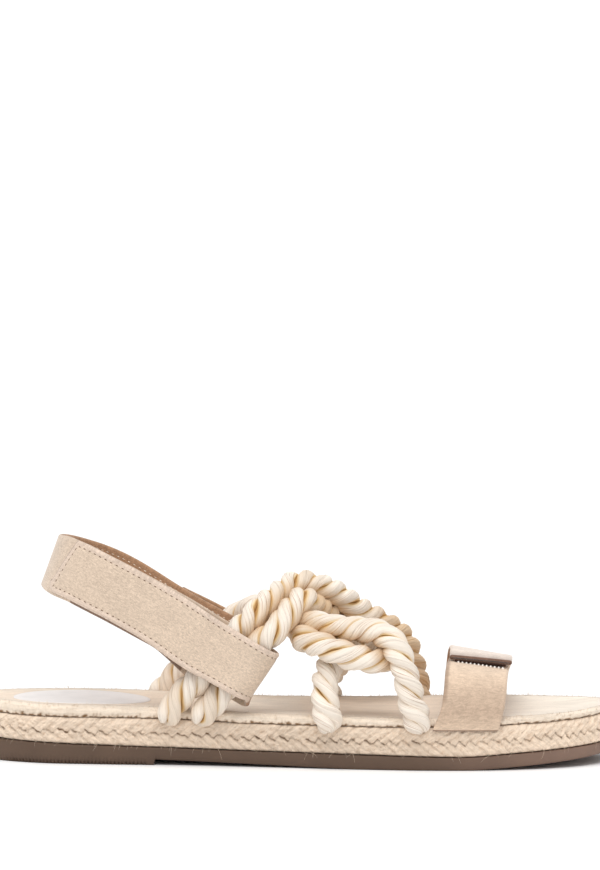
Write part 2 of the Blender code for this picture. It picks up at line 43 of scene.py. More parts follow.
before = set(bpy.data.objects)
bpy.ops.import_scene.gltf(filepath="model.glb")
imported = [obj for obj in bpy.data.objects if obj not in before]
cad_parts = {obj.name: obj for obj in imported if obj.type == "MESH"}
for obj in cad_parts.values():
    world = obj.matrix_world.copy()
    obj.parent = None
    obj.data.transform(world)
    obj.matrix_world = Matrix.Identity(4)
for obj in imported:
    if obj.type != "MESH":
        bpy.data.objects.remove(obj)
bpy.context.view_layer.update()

MM = 0.001
TAU = 2.0 * math.pi
GAP = 0.3
# A stretch over whose first span something comes, and over whose second it goes
Band = namedtuple("Band", "rise fall")

# Sole: the outline's tips, and the reach of each side at stations from heel to toe
HEEL_TIP = (-129.5, 0.0)
TOE_TIP = (129.5, 4.0)
Reach = namedtuple("Reach", "x lateral medial")
OUTLINE = (
    Reach(-121.0, 19.0, 18.5),
    Reach(-104.0, 29.0, 28.0),
    Reach(-78.0, 32.0, 31.0),
    Reach(-45.0, 33.2, 29.5),
    Reach(-10.0, 37.0, 31.0),
    Reach(25.0, 41.3, 36.3),
    Reach(55.0, 42.6, 42.0),
    Reach(82.0, 39.5, 41.2),
    Reach(106.0, 30.5, 34.5),
    Reach(121.5, 17.5, 22.5),
)
Profile = namedtuple("Profile", "x ground outsole_top midsole_top insole_thickness")
PROFILE = (
    Profile(-129.5, 0.9, 9.3, 19.4, 5.2),
    Profile(-117.0, 0.0, 8.8, 18.9, 5.2),
    Profile(-95.0, 0.0, 8.1, 18.5, 5.2),
    Profile(-60.0, 0.0, 7.2, 18.5, 4.8),
    Profile(-20.0, 0.0, 6.4, 17.2, 4.4),
    Profile(28.0, 0.0, 5.8, 16.9, 3.9),
    Profile(66.0, 0.0, 5.2, 17.2, 3.6),
    Profile(85.0, 1.0, 6.3, 17.9, 3.4),
    Profile(108.0, 2.7, 7.7, 18.9, 3.0),
    Profile(129.5, 4.8, 9.2, 20.6, 2.8),
)
Arch = namedtuple("Arch", "x z")
ARCH = (Arch(-57.4, -4.0), Arch(-56.4, 2.3), Arch(-43.0, 1.9), Arch(0.0, 0.7), Arch(27.0, -0.1))
SOLE_SIDE_POINTS = 860
Wall = namedtuple("Wall", "share inset ribbed")
OUTSOLE_WALL = (
    Wall(0.0, 3.4, 0.0),
    Wall(0.0, 2.2, 1.0),
    Wall(0.05, 1.75, 1.0),
    Wall(0.16, 1.5, 0.8),
    Wall(0.22, 1.35, 0.0),
    Wall(0.5, 1.2, 0.0),
    Wall(0.9, 1.0, 0.0),
    Wall(0.97, 1.1, 0.0),
    Wall(1.0, 1.5, 0.0),
)
RIB_DEPTH = 1.3
HEEL_RIBS = Band((-122.0, -112.0), (-61.0, -58.0))

# Jute: the wall's rows and edges, the line between the two rows of cords, and the cords' relief
JUTE_WALL_ROWS = 40
JUTE_TURN_ROWS = 7
JUTE_TURN_IN = (0.6, 5.0)
JUTE_EDGE_ROUND = 1.1
JUTE_INSET = 1.3
JUTE_LIP = 0.28
JUTE_TEETH = (-120.0, 90.0)
JUTE_STRAY = 0.25
JUTE_MIDDLE = 0.48
JUTE_MIDDLE_WAVE = 0.03
JUTE_LEAN = 1.15
JUTE_LOWER_ROW = 0.75
JUTE_SINK = (-2.4, 1.4)
JUTE_WALL = Band((-0.02, 0.08), (0.95, 1.04))
JUTE_SAW = 2.1
JUTE_SAW_WAVE = 0.28
JUTE_GROOVE = 0.38
JUTE_GROOVE_DEPTH = 0.5
JUTE_CORDS = 0.55
JUTE_PLUMP = 0.5
JUTE_PLUMP_RUN = 5.0
JUTE_FINE = 0.17
JUTE_COARSE = 0.22
# Painted shade along the foot: the jute is darker in the middle, under the upper, and paler at the toe
Tone = namedtuple("Tone", "x value")
JUTE_TONE = (
    Tone(-120.0, 0.97),
    Tone(-60.0, 0.96),
    Tone(-20.0, 0.89),
    Tone(20.0, 0.91),
    Tone(80.0, 1.03),
    Tone(120.0, 1.1),
)

# Insole: its rim, the seam under it, and where its top is paler at the toe, paler as painted light under
# the ropes, and darker along the foot
INSOLE_SIDE_POINTS = 430
INSOLE_ACROSS = 48
INSOLE_RIM = 4.6
INSOLE_DISH = 1.0
INSOLE_RIPPLE = 0.25
INSOLE_SWAY = 0.3
INSOLE_HEAVE = 0.16
INSOLE_ROUGH = 0.16
INSOLE_BRUSHED = 9.0
INSOLE_SEAM = (0.0, 0.24)
INSOLE_STROKES = 0.15
INSOLE_STROKE_RISE = (0.15, 0.7)
INSOLE_TOE = (52.0, 78.0)
# Painted light on the footbed under the ropes, where their shade falls
INSOLE_LIT = Band((-45.0, -25.0), (-4.0, 12.0))
INSOLE_DARKER = 0.16
INSOLE_DARKER_SPAN = Band((8.0, 22.0), (42.0, 54.0))
OVAL_CENTRE = (-86.0, 0.5)

# Hairs on the jute and on the insole's edge
Hair = namedtuple("Hair", "droop thickness steps")
JUTE_HAIR = Hair(0.35, 0.06, 5)
SUEDE_HAIR = Hair(0.1, 0.1, 4)
JUTE_HAIRS = 420
INSOLE_HAIRS = 1700
HAIR_CURL = 0.35
HAIR_TAPER = 0.75

# Routes of the four ropes, from the rear leg over the instep to the front leg
ROUTES = {
    "rope_rear_lateral": (
        (-50.0, -32.9, 22.0), (-45.4, -32.9, 28.8), (-37.6, -31.8, 36.4), (-30.0, -30.6, 46.4),
        (-21.6, -28.6, 56.0), (-12.4, -19.6, 63.8), (0.4, -2.0, 70.0), (14.0, 9.0, 65.6),
        (24.6, 19.4, 57.0), (34.6, 28.0, 50.6), (42.4, 35.4, 43.6), (46.6, 40.6, 32.6),
        (48.0, 42.0, 25.0), (48.6, 42.0, 19.4),
    ),
    "rope_second_lateral": (
        (-36.6, -33.6, 21.6), (-30.8, -33.3, 28.4), (-24.0, -32.7, 37.4), (-14.2, -31.9, 50.0),
        (-8.0, -29.4, 55.2), (-3.2, -23.6, 61.0), (1.6, -15.4, 65.0), (6.2, -5.0, 61.2),
        (10.2, 6.4, 57.4), (15.4, 18.0, 52.0), (20.6, 27.0, 47.6), (27.0, 31.6, 43.4),
        (33.4, 29.4, 41.2), (36.0, 23.4, 41.6), (33.6, 17.2, 42.6), (27.8, 14.4, 42.4),
        (21.2, 16.6, 39.4), (15.8, 23.4, 34.4), (12.6, 30.6, 27.6), (12.2, 33.8, 19.4),
    ),
    "rope_rear_medial": (
        (-55.0, 29.8, 20.8), (-48.8, 31.2, 28.8), (-40.2, 31.4, 36.4), (-28.6, 30.6, 50.2),
        (-19.6, 27.8, 55.6), (-12.4, 13.6, 58.2), (-6.4, -0.6, 59.2), (-1.6, -11.4, 56.4),
        (4.4, -20.6, 55.8), (11.6, -26.2, 56.2), (19.0, -29.6, 55.0), (27.0, -31.8, 55.2),
        (34.6, -34.4, 53.6), (40.6, -40.0, 46.8), (44.0, -42.2, 35.8), (46.4, -42.0, 25.6),
        (47.9, -42.2, 20.8),
    ),
    "rope_second_medial": (
        (-41.8, 29.4, 20.4), (-34.2, 31.0, 28.4), (-26.6, 31.6, 37.4), (-15.8, 31.0, 49.2),
        (-6.2, 21.8, 53.6), (0.2, 5.0, 51.4), (3.8, -14.0, 49.4), (2.6, -27.0, 51.0),
        (9.8, -33.8, 48.8), (20.4, -37.2, 45.4), (28.6, -36.4, 43.8), (34.4, -33.4, 43.4),
        (37.2, -27.8, 44.8), (34.6, -21.8, 46.4), (28.4, -19.2, 47.2), (20.6, -19.6, 45.6),
        (15.2, -23.6, 42.4), (12.4, -29.0, 38.2), (11.2, -34.6, 32.8), (11.3, -38.7, 26.6),
        (12.4, -40.0, 20.5),
    ),
}
STRANDS = 3
ROPE_RING_STEP = 0.6
STRAND_SIDES = 44
YARNS = 13
YARN_PITCH = 46.0
YARN_RIDGE = 0.025
STRAND_SLIP = 0.035
STRAND_PLUMP = 0.1
STRAND_LUMPS = 0.025
STRAND_UV_STEP = 300.0
STRAND_UV_RADIUS = 2.9
# Length of a strand's turn at shares of each rope's length, how much painted shade the rope gets where
# it lies behind the others, and the shares of its length between which it does
Twist = namedtuple("Twist", "shares pitches aged behind")
ROPE_TWIST = {
    "rope_rear_lateral": Twist(
        (0.0, 0.3, 0.45, 0.7, 1.0), (26.0, 26.0, 27.0, 25.0, 23.0), 1.0, Band((0.66, 0.76), (1.0, 1.1))
    ),
    "rope_second_lateral": Twist(
        (0.0, 0.3, 0.45, 1.0), (26.0, 28.0, 27.0, 23.0), 1.1, Band((0.32, 0.42), (0.6, 0.7))
    ),
    "rope_rear_medial": Twist(
        (0.0, 0.4, 0.72, 0.84, 1.0), (26.0, 27.0, 25.0, 22.0, 22.0), 0.0, Band((0.0, 0.1), (1.0, 1.1))
    ),
    "rope_second_medial": Twist(
        (0.0, 0.45, 0.7, 0.84, 1.0), (26.0, 25.0, 25.0, 22.0, 22.0), 0.0, Band((0.0, 0.1), (1.0, 1.1))
    ),
}
CONTACT_REACH = 7.0
# The front leg widens to its end, both ends and the front leg get less painted crease shade, the rear
# leg gets less painted shade where ropes touch, and some lobes are tan
LEG_FLARE = 0.15
LEG_FLARE_RUN = 16.0
LEG_PALE = 0.1
LEG_PALE_RUN = (22.0, 42.0)
END_PALE = 0.2
END_PALE_RUN = (2.0, 8.0)
TAN_LOBES = 0.42
LOBES_RUN = (26.0, 46.0)
REAR_TAN = 0.35
REAR_PALE = 0.55
REAR_RUN = (24.0, 36.0)

# Heel strap: its path in a plane that falls to the front, u forward and v to the medial side
HEEL_SLOPE = 27.5
HEEL_ORIGIN = (-20.9, 0.0, 39.1)
HEEL_LEAN_BACK = 8.0
HEEL_LEAN_FRONT = 5.0
HEEL_LEAN_IN = 7.0
HEEL_FRONT_RUN = 40.0
HEEL_CENTRE_U = -58.0
HEEL_LENGTH = 29.3
HEEL_HALF_WIDTH = 30.4
# The lateral side of the strap bows up between the heel's back and the fold, the medial side hangs
# lower, and the strap's upper edge comes down at the heel's back
Bow = namedtuple("Bow", "u lift")
HEEL_BOW = (
    Bow(-88.0, 0.0),
    Bow(-73.0, 2.6),
    Bow(-56.0, 3.3),
    Bow(-35.0, 2.8),
    Bow(-17.0, 1.1),
    Bow(3.0, 0.0),
)
HEEL_BOW_WIDTH = 25.0
HEEL_MEDIAL_DROP = 1.2
HEEL_BACK_NARROW = 1.05
HEEL_BACK_SHARPNESS = 4
LAYER_PITCH = 2.5
FOLD_RADIUS = 7.8
OVERLAP_END = -36.0
HEEL_CORNER = 5.0
HEEL_CORNER_CUT = 3.0
# The strap's ends take the cut edge colour, which also paints shade in the gap at the overlap's end
HEEL_CUT = (0.5, 0.35)
HEEL_END_SLANT = 6.5
HEEL_END_RUN = 14.0
HEEL_END_LIFT = 0.4
HEEL_END_RISE = (6.0, 30.0)
HEEL_BACK_LIFT = 1.5
HEEL_BACK_CORNER_V = -16.0
HEEL_BACK_CORNER_REACH = 9.0
HEEL_MEDIAL_BOW = 1.6
HEEL_MEDIAL_BOW_FROM = -86.0
HEEL_MEDIAL_BOW_RUN = 56.0
# The lower edge rises along the overlap, and past the fold it gets painted shade in the cut edge colour
HEEL_HEM = 1.3
HEEL_HEM_RISE = (44.0, 72.0)
HEEL_HEM_ROWS = (18, 105)
HEEL_HEM_DARK = 0.75
# Round the lateral fold, in shares of the way: the outer corner rises, and the inner tongue hangs and reaches
HEEL_FRONT_LIFT = 1.7
FRONT_RISES = Band((-0.9, 0.1), (0.25, 0.5))
HEEL_TONGUE = 4.2
TONGUE_HANGS = Band((0.3, 0.65), (1.1, 1.7))
HEEL_TONGUE_REACH = 3.2
TONGUE_REACHES = Band((0.35, 0.6), (0.75, 1.1))
FOLD_SUEDE_KNOTS = 5
STRAP_ROW_STEP = 0.6
STRAP_COLUMNS = 47
LATERAL_BIGHT = (0.0, -32.9)
MEDIAL_BIGHT = (-0.7, 31.9)
Lay = namedtuple("Lay", "u inner outer")
LATERAL_LAY = (
    Lay(-12.0, -23.1, -38.9),
    Lay(-23.0, -24.6, -37.6),
    Lay(-34.0, -28.2, -35.8),
    Lay(-46.0, -30.2, -33.9),
)
MEDIAL_LAY = (
    Lay(-13.0, 23.0, 38.8),
    Lay(-24.0, 24.6, 37.1),
    Lay(-34.0, 28.0, 33.4),
    Lay(-46.0, 30.2, 33.2),
)

# Toe strap: its halves climb from the sole's edge, each row a way in from the edge, a height and an x
TOE_ROWS = 64
TOE_COLUMNS = 27
TOE_BASE_TILT = 0.11
TOE_BASE_FLARE = 1.5
TOE_FLARE_RISE = 8.0
TOE_FLAP_TILT = 0.16
TOE_FLAP_LEVEL = 0.5
TOE_LEVEL_FROM = 18.0
TOE_TILT_RISE = 20.0
TOE_TUCK = 0.8
# The strap's ends take the cut edge colour, which also paints shade where they tuck in and at the flap's end
TOE_CUT = (0.7, 0.95)
# Painted shade on the toe strap, by height as the light falls from above, and at its left edge
TOE_SHADE = 0.3
ToeShade = namedtuple("ToeShade", "z amount")
TOE_SHADED = (ToeShade(17.0, 0.3), ToeShade(19.5, 0.7), ToeShade(23.5, 1.2), ToeShade(31.0, 0.9), ToeShade(37.5, 0.1))
TOE_EDGE = 0.5
TOE_EDGE_RISE = (23.0, 29.0)
# Painted highlight on the flap's top, where the light falls
FLAP_LIT = (38.0, 41.0)
FLAP_END_ROWS = 8
FLAP_END_SHADE = 0.5
TAPE_THICKNESS = 0.9
TAPE_ROWS = 14
HOOK_SPACING = 1.5
HOOK_REACH = 1.5
HOOK_LIFT = 0.2
# Painted shadow of the flap's end on the base, above the hooks
HOOK_SHADE = 0.8
Climb = namedtuple("Climb", "inset z x")
TOE_BASE = (
    Climb(-0.2, 16.0, 67.9),
    Climb(-0.6, 21.0, 69.2),
    Climb(0.2, 26.4, 70.4),
    Climb(2.8, 32.0, 71.1),
    Climb(8.0, 36.6, 71.5),
    Climb(15.5, 39.0, 72.0),
    Climb(25.0, 39.5, 72.6),
    Climb(36.0, 39.0, 73.0),
    Climb(46.0, 38.4, 73.4),
)
TOE_FLAP = (
    Climb(-0.2, 16.0, 71.8),
    Climb(-0.6, 21.0, 72.0),
    Climb(0.2, 27.5, 72.4),
    Climb(3.2, 32.6, 72.8),
    Climb(9.0, 37.0, 73.2),
    Climb(18.0, 39.8, 73.6),
    Climb(30.0, 41.2, 73.8),
    Climb(44.0, 42.6, 73.8),
    Climb(55.0, 43.3, 73.6),
    Climb(63.0, 42.4, 73.4),
)

# Seams, and the nap of the three suedes in strokes of so many millimetres
SEAM_DEPTH = 0.22
SEAM_WIDTH = 0.55
HEM_COLUMNS = 4
HEEL_SEAM_LATE = 8
Bead = namedtuple("Bead", "length width depth")
THREAD_BEAD = Bead(0.56, 0.2, 0.17)
HOOK_BEAD = Bead(0.75, 0.48, 0.45)
Nap = namedtuple("Nap", "strength along across")
INSOLE_NAP = Nap(0.1, 24.0, 1.4)
HEEL_NAP = Nap(0.2, 1.2, 0.55)
TOE_NAP = Nap(0.15, 0.9, 2.6)

# Stage: the floor in metres each way, the light, and the camera's sensor
FLOOR_REACH = 60.0
AIR_STRENGTH = 0.75
SUN_ENERGY = 1.6
SUN_ANGLE = 50.0
SUN_WAY = (0.1, 0.4, -1.0)
SENSOR = 36.0


def linear(code):
    """Linear red, green and blue of an sRGB hex colour."""
    parts = np.array([int(code[i : i + 2], 16) for i in (1, 3, 5)]) / 255.0
    return tuple(np.where(parts <= 0.04045, parts / 12.92, ((parts + 0.055) / 1.055) ** 2.4))


def size(name, about, millimetres):
    """A length that a user may change, kept in metres."""
    return bpy.props.FloatProperty(
        name=name, description=about, default=millimetres * MM, unit="LENGTH", precision=5
    )


def colour(name, about, code):
    """A colour that a user may change."""
    return bpy.props.FloatVectorProperty(
        name=name, description=about, default=linear(code), size=3, subtype="COLOR", min=0.0, max=1.0
    )


class SandalRope(bpy.types.PropertyGroup):
    radius: size("Radius", "Radius of the whole rope", 5.5)
    strand_offset: size("Strand offset", "From the rope's line to each strand's line", 2.85)
    strand_depth: size("Strand depth", "Half a strand's depth, away from the rope's line", 2.75)
    strand_width: size("Strand width", "Half a strand's width across the rope, along its skin", 3.3)
    pale: colour("Pale", "Cotton on the crown of a strand", "#F9EEE0")
    # The warm and crease colours are painted shade on a strand's flanks and in its creases
    warm: colour("Warm", "Cotton on the flanks of a strand", "#EBCF9C")
    crease: colour("Crease", "Cotton between the strands", "#C4985F")
    fibre: colour("Fibre", "Single darker fibres", "#A67C5C")
    # Painted shade where two ropes touch, and where a rope lies behind the others
    shaded: colour("Shaded", "Cotton where two ropes touch", "#CCA064")


class SandalSole(bpy.types.PropertyGroup):
    tooth: size("Tooth", "Length of one tooth of the braid at the heel", 5.6)
    tooth_toe: size("Tooth at the toe", "Length of one tooth of the braid at the toe", 4.4)
    relief: size("Relief", "Height of a cord of the braid", 0.85)
    rib: size("Rib", "Length of one rib under the heel", 1.52)
    oval_length: size("Oval length", "Length of the heel oval", 55.0)
    oval_width: size("Oval width", "Width of the heel oval", 43.0)
    jute: colour("Jute", "Natural jute cord", "#EFDAC4")
    # Painted shade in the groove between the two rows, between the cords and at the top edge
    jute_dark: colour("Dark jute", "Jute between the two rows", "#6A4B30")
    insole: colour("Insole", "Suede of the footbed", "#F0DDC8")
    # Also painted light on the footbed under the ropes
    insole_toe: colour("Insole at the toe", "Suede of the footbed under the toes", "#F6EADA")
    insole_edge: colour("Insole edge", "Rolled suede at the footbed's edge", "#EEDECB")
    insole_seam: colour("Insole seam", "Shaded suede where the edge meets the jute", "#846443")
    oval: colour("Oval", "Smooth leather oval at the heel", "#F0EBE8")
    rubber: colour("Rubber", "Outsole at the heel", "#5F4B3D")
    rubber_toe: colour("Rubber at the toe", "Outsole at the toe", "#836A5C")


class SandalStrap(bpy.types.PropertyGroup):
    thickness: size("Thickness", "Thickness of suede and lining", 2.0)
    heel_width: size("Heel width", "Width of the heel strap", 24.2)
    toe_width: size("Toe width", "Width of the toe strap", 25.0)
    stitch: size("Stitch", "Length from one stitch to the next", 2.5)
    stitch_inset: size("Stitch inset", "From a strap's edge to its seam", 2.3)
    suede: colour("Suede", "Outer face of the straps", "#D8C3AE")
    rolled: colour("Rolled rim", "Heel strap outside its seam", "#DDC8B6")
    # Painted highlight: the flap's top is paler where the light falls on it
    flap: colour("Flap", "Brushed top of the toe strap's flap", "#F4E5D8")
    toe_suede: colour("Toe suede", "Outer face of the toe strap", "#E6CDB4")
    lining: colour("Lining", "Inner face of the straps", "#B08A6C")
    # The cut edge colour also paints shade on the toe strap, and along the heel strap's lower edge
    cut: colour("Cut edge", "Frayed ends of the straps", "#6B4A3A")
    thread: colour("Thread", "Seams on the suede", "#6A503F")
    lining_thread: colour("Lining thread", "Seams on the lining", "#E4D2BF")
    hook: colour("Hooks", "Nylon hooks of the tape", "#F3EAE2")
    tape: colour("Tape", "Hook tape under the toe flap", "#5A3F35")


class SandalStage(bpy.types.PropertyGroup):
    distance: size("Distance", "From the camera to the sandal", 6000.0)
    field: size("Field", "Width that the picture covers at the sandal", 240.0)
    aim_x: size("Aim along", "Where the middle of the picture lies along the foot", 0.4)
    aim_z: size("Aim up", "Where the middle of the picture lies above the ground", 129.7)
    elevation: bpy.props.FloatProperty(
        name="Elevation",
        description="Camera above the horizon",
        default=math.radians(6.0),
        subtype="ANGLE",
    )
    roll: bpy.props.FloatProperty(
        name="Roll",
        description="Camera's turn about its own line",
        default=math.radians(0.516),
        subtype="ANGLE",
    )
    floor: colour("Floor", "Studio floor", "#F8F8F8")


def column(table, field):
    return np.array([getattr(row, field) for row in table], float)


def monotone(xs, ys, x):
    """Cubic through the rows whose slope at each row is the harmonic mean of its neighbours' slopes."""
    steps = np.diff(xs)
    slopes = np.diff(ys) / steps
    turn = slopes[:-1] * slopes[1:] > 0
    total = np.where(turn, slopes[:-1] + slopes[1:], 1.0)
    tangents = np.zeros(len(xs))
    tangents[1:-1] = np.where(turn, 2.0 * slopes[:-1] * slopes[1:] / total, 0.0)
    tangents[0] = slopes[0]
    tangents[-1] = slopes[-1]
    x = np.clip(x, xs[0], xs[-1])
    i = np.clip(np.searchsorted(xs, x, side="right") - 1, 0, len(steps) - 1)
    t = (x - xs[i]) / steps[i]
    rise = ys[i] * (1 + 2 * t) * (1 - t) ** 2 + ys[i + 1] * t * t * (3 - 2 * t)
    return rise + steps[i] * (tangents[i] * t * (1 - t) ** 2 - tangents[i + 1] * t * t * (1 - t))


def height(field, x):
    return monotone(column(PROFILE, "x"), column(PROFILE, field), x)


def smooth(low, high, x):
    """Rises from 0 at low to 1 at high with level ends."""
    t = np.clip((x - low) / (high - low), 0.0, 1.0)
    return t * t * (3 - 2 * t)


def within(band, x):
    """1 between the two ramps of a band and 0 outside them."""
    return smooth(*band.rise, x) * (1 - smooth(*band.fall, x))


def wobble(x, wavelength, seed):
    """Sum of five sines about one wavelength, with seeded phases, from about -1 to 1."""
    draw = np.random.default_rng(seed)
    pitches = wavelength * draw.uniform(0.6, 1.7, 5)
    phases = draw.uniform(0.0, TAU, 5)
    return np.sin(TAU * np.asarray(x)[..., None] / pitches + phases).sum(axis=-1) / 3.0


def scatter(index, seed):
    """One value from 0 to 1 for each whole number, from the fraction of a large sine."""
    return np.modf(np.abs(np.sin(index * 12.9898 + seed * 78.233) * 43758.5453))[0]


def unit(vectors):
    return vectors / np.maximum(np.linalg.norm(vectors, axis=-1, keepdims=True), 1e-9)


def through(points, per_span, closed=False):
    """Centripetal Catmull-Rom curve: each span blends the lines through its four nearest points."""
    points = np.array(points, float)
    if closed:
        points = np.vstack([points[-1], points, points[:2]])
    else:
        points = np.vstack([2 * points[0] - points[1], points, 2 * points[-1] - points[-2]])
    gaps = np.sqrt(np.linalg.norm(np.diff(points, axis=0), axis=1))
    knots = np.concatenate([[0.0], np.cumsum(gaps)])
    curve = []
    for i in range(1, len(points) - 2):
        t = np.linspace(knots[i], knots[i + 1], per_span, endpoint=False)[:, None]
        near = [
            ((knots[k + 1] - t) * points[k] + (t - knots[k]) * points[k + 1]) / (knots[k + 1] - knots[k])
            for k in (i - 1, i, i + 1)
        ]
        far = [
            ((knots[i + 1 + k] - t) * near[k] + (t - knots[i - 1 + k]) * near[k + 1])
            / (knots[i + 1 + k] - knots[i - 1 + k])
            for k in (0, 1)
        ]
        curve.append(((knots[i + 1] - t) * far[0] + (t - knots[i]) * far[1]) / (knots[i + 1] - knots[i]))
    if not closed:
        curve.append(points[-2:-1])
    return np.vstack(curve)


def run_along(points):
    """Length from the first point to each point."""
    return np.concatenate([[0.0], np.cumsum(np.linalg.norm(np.diff(points, axis=0), axis=1))])


def evenly(points, count):
    """The same curve at count points that lie evenly along it."""
    lengths = run_along(points)
    marks = np.linspace(0.0, lengths[-1], count)
    return np.stack([np.interp(marks, lengths, axis) for axis in points.T], axis=1)


def sole_outline(side_points):
    """Closed curve from the heel's tip along the lateral side to the toe's tip, and back."""
    spans = 40
    lateral = [(row.x, -row.lateral) for row in OUTLINE]
    medial = [(row.x, row.medial) for row in reversed(OUTLINE)]
    loop = through([HEEL_TIP, *lateral, TOE_TIP, *medial], spans, closed=True)
    toe = (len(lateral) + 1) * spans
    out = evenly(loop[: toe + 1], side_points + 1)
    back = evenly(np.vstack([loop[toe:], loop[:1]]), side_points + 1)
    return np.vstack([out[:-1], back[:-1]])


def inward(loop):
    """Unit normals of a closed loop in plan, to its inside."""
    run = unit(np.roll(loop, -1, axis=0) - np.roll(loop, 1, axis=0))
    return np.stack([-run[:, 1], run[:, 0]], axis=1)


def edge_y(x, side):
    """Where the outline lies at x, on the lateral side (-1) or the medial side (1)."""
    half = 400
    loop = sole_outline(half)
    line = loop[: half + 1] if side < 0 else np.vstack([loop[:1], loop[::-1]])[: half + 1]
    return np.interp(x, line[:, 0], line[:, 1])


class Shell:
    """Points and faces of one piece, gathered from grids of points and closed by caps."""

    def __init__(self):
        self.points = []
        self.faces = []
        self.uvs = []
        self.marks = {}
        self.count = 0

    def add(self, points, uv=None, **marks):
        """Puts in a grid of points, each with a pattern coordinate and marks, and gives their indices."""
        flat = np.asarray(points, float).reshape(-1, 3)
        index = np.arange(self.count, self.count + len(flat)).reshape(np.shape(points)[:-1])
        self.count += len(flat)
        self.points.append(flat)
        self.uvs.append(np.zeros((len(flat), 2)) if uv is None else np.asarray(uv, float).reshape(-1, 2))
        for name in sorted(set(self.marks) | set(marks)):
            kept = self.marks.setdefault(name, [np.zeros(self.count - len(flat))])
            kept.append(np.broadcast_to(marks.get(name, 0.0), index.shape).reshape(-1).astype(float))
        return index

    def quads(self, index, wrap=False, flip=False):
        """Quads between neighbours of an index grid, closed round its columns if wrapped."""
        if wrap:
            index = np.concatenate([index, index[..., :1]], axis=-1)
        corners = np.stack(
            [index[..., :-1, :-1], index[..., :-1, 1:], index[..., 1:, 1:], index[..., 1:, :-1]], axis=-1
        ).reshape(-1, 4)
        if flip:
            corners = corners[:, ::-1]
        self.faces += corners.tolist()

    def polygons(self, faces):
        self.faces += [tuple(int(i) for i in face) for face in faces]

    def mesh(self, name):
        """Blender mesh in metres, smooth shaded, with the pattern coordinates as its UV map."""
        points = np.concatenate(self.points)
        mesh = bpy.data.meshes.new(name)
        mesh.from_pydata((points * MM).tolist(), [], self.faces)
        corners = np.empty(len(mesh.loops), np.int32)
        mesh.loops.foreach_get("vertex_index", corners)
        layer = mesh.uv_layers.new(name="pattern")
        layer.data.foreach_set("uv", np.concatenate(self.uvs)[corners].astype(np.float32).ravel())
        for key, parts in self.marks.items():
            layer = mesh.attributes.new(key, "FLOAT", "POINT")
            layer.data.foreach_set("value", np.concatenate(parts).astype(np.float32))
        mesh.shade_smooth()
        mesh.update()
        if mesh.validate():
            raise RuntimeError(f"{name} has faces that Blender had to mend")
        return mesh


def place(name, shell, material, replaced=None):
    """Puts a finished piece into the scene, on the frame's body, in place of a solid if one is named."""
    mesh = shell.mesh(name)
    mesh.materials.append(material)
    obj = bpy.data.objects.new(name, mesh)
    bpy.context.scene.collection.objects.link(obj)
    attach(obj, "root")
    if replaced:
        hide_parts(replaced)


def wire(tree, made, settings, links):
    """Sets a node's properties and plain sockets, and links the sockets that get another node's output."""
    for key, value in settings.items():
        if isinstance(key, str) and hasattr(made, key):
            setattr(made, key, value)
        else:
            made.inputs[key].default_value = value
    for key, source in links.items():
        target = made.inputs[int(key[1:])] if key[1:].isdigit() else made.inputs[key.replace("_", " ")]
        tree.links.new(source, target)


def node(tree, kind, settings=None, **links):
    """Adds a node with its settings and its links."""
    made = tree.nodes.new(kind)
    wire(tree, made, settings or {}, links)
    return made


def blank(name):
    """A new material with its shader, and its node tree."""
    material = bpy.data.materials.new(name)
    material.use_nodes = True
    tree = material.node_tree
    return material, tree, tree.nodes["Principled BSDF"]


def rgba(three):
    return (*three, 1.0)


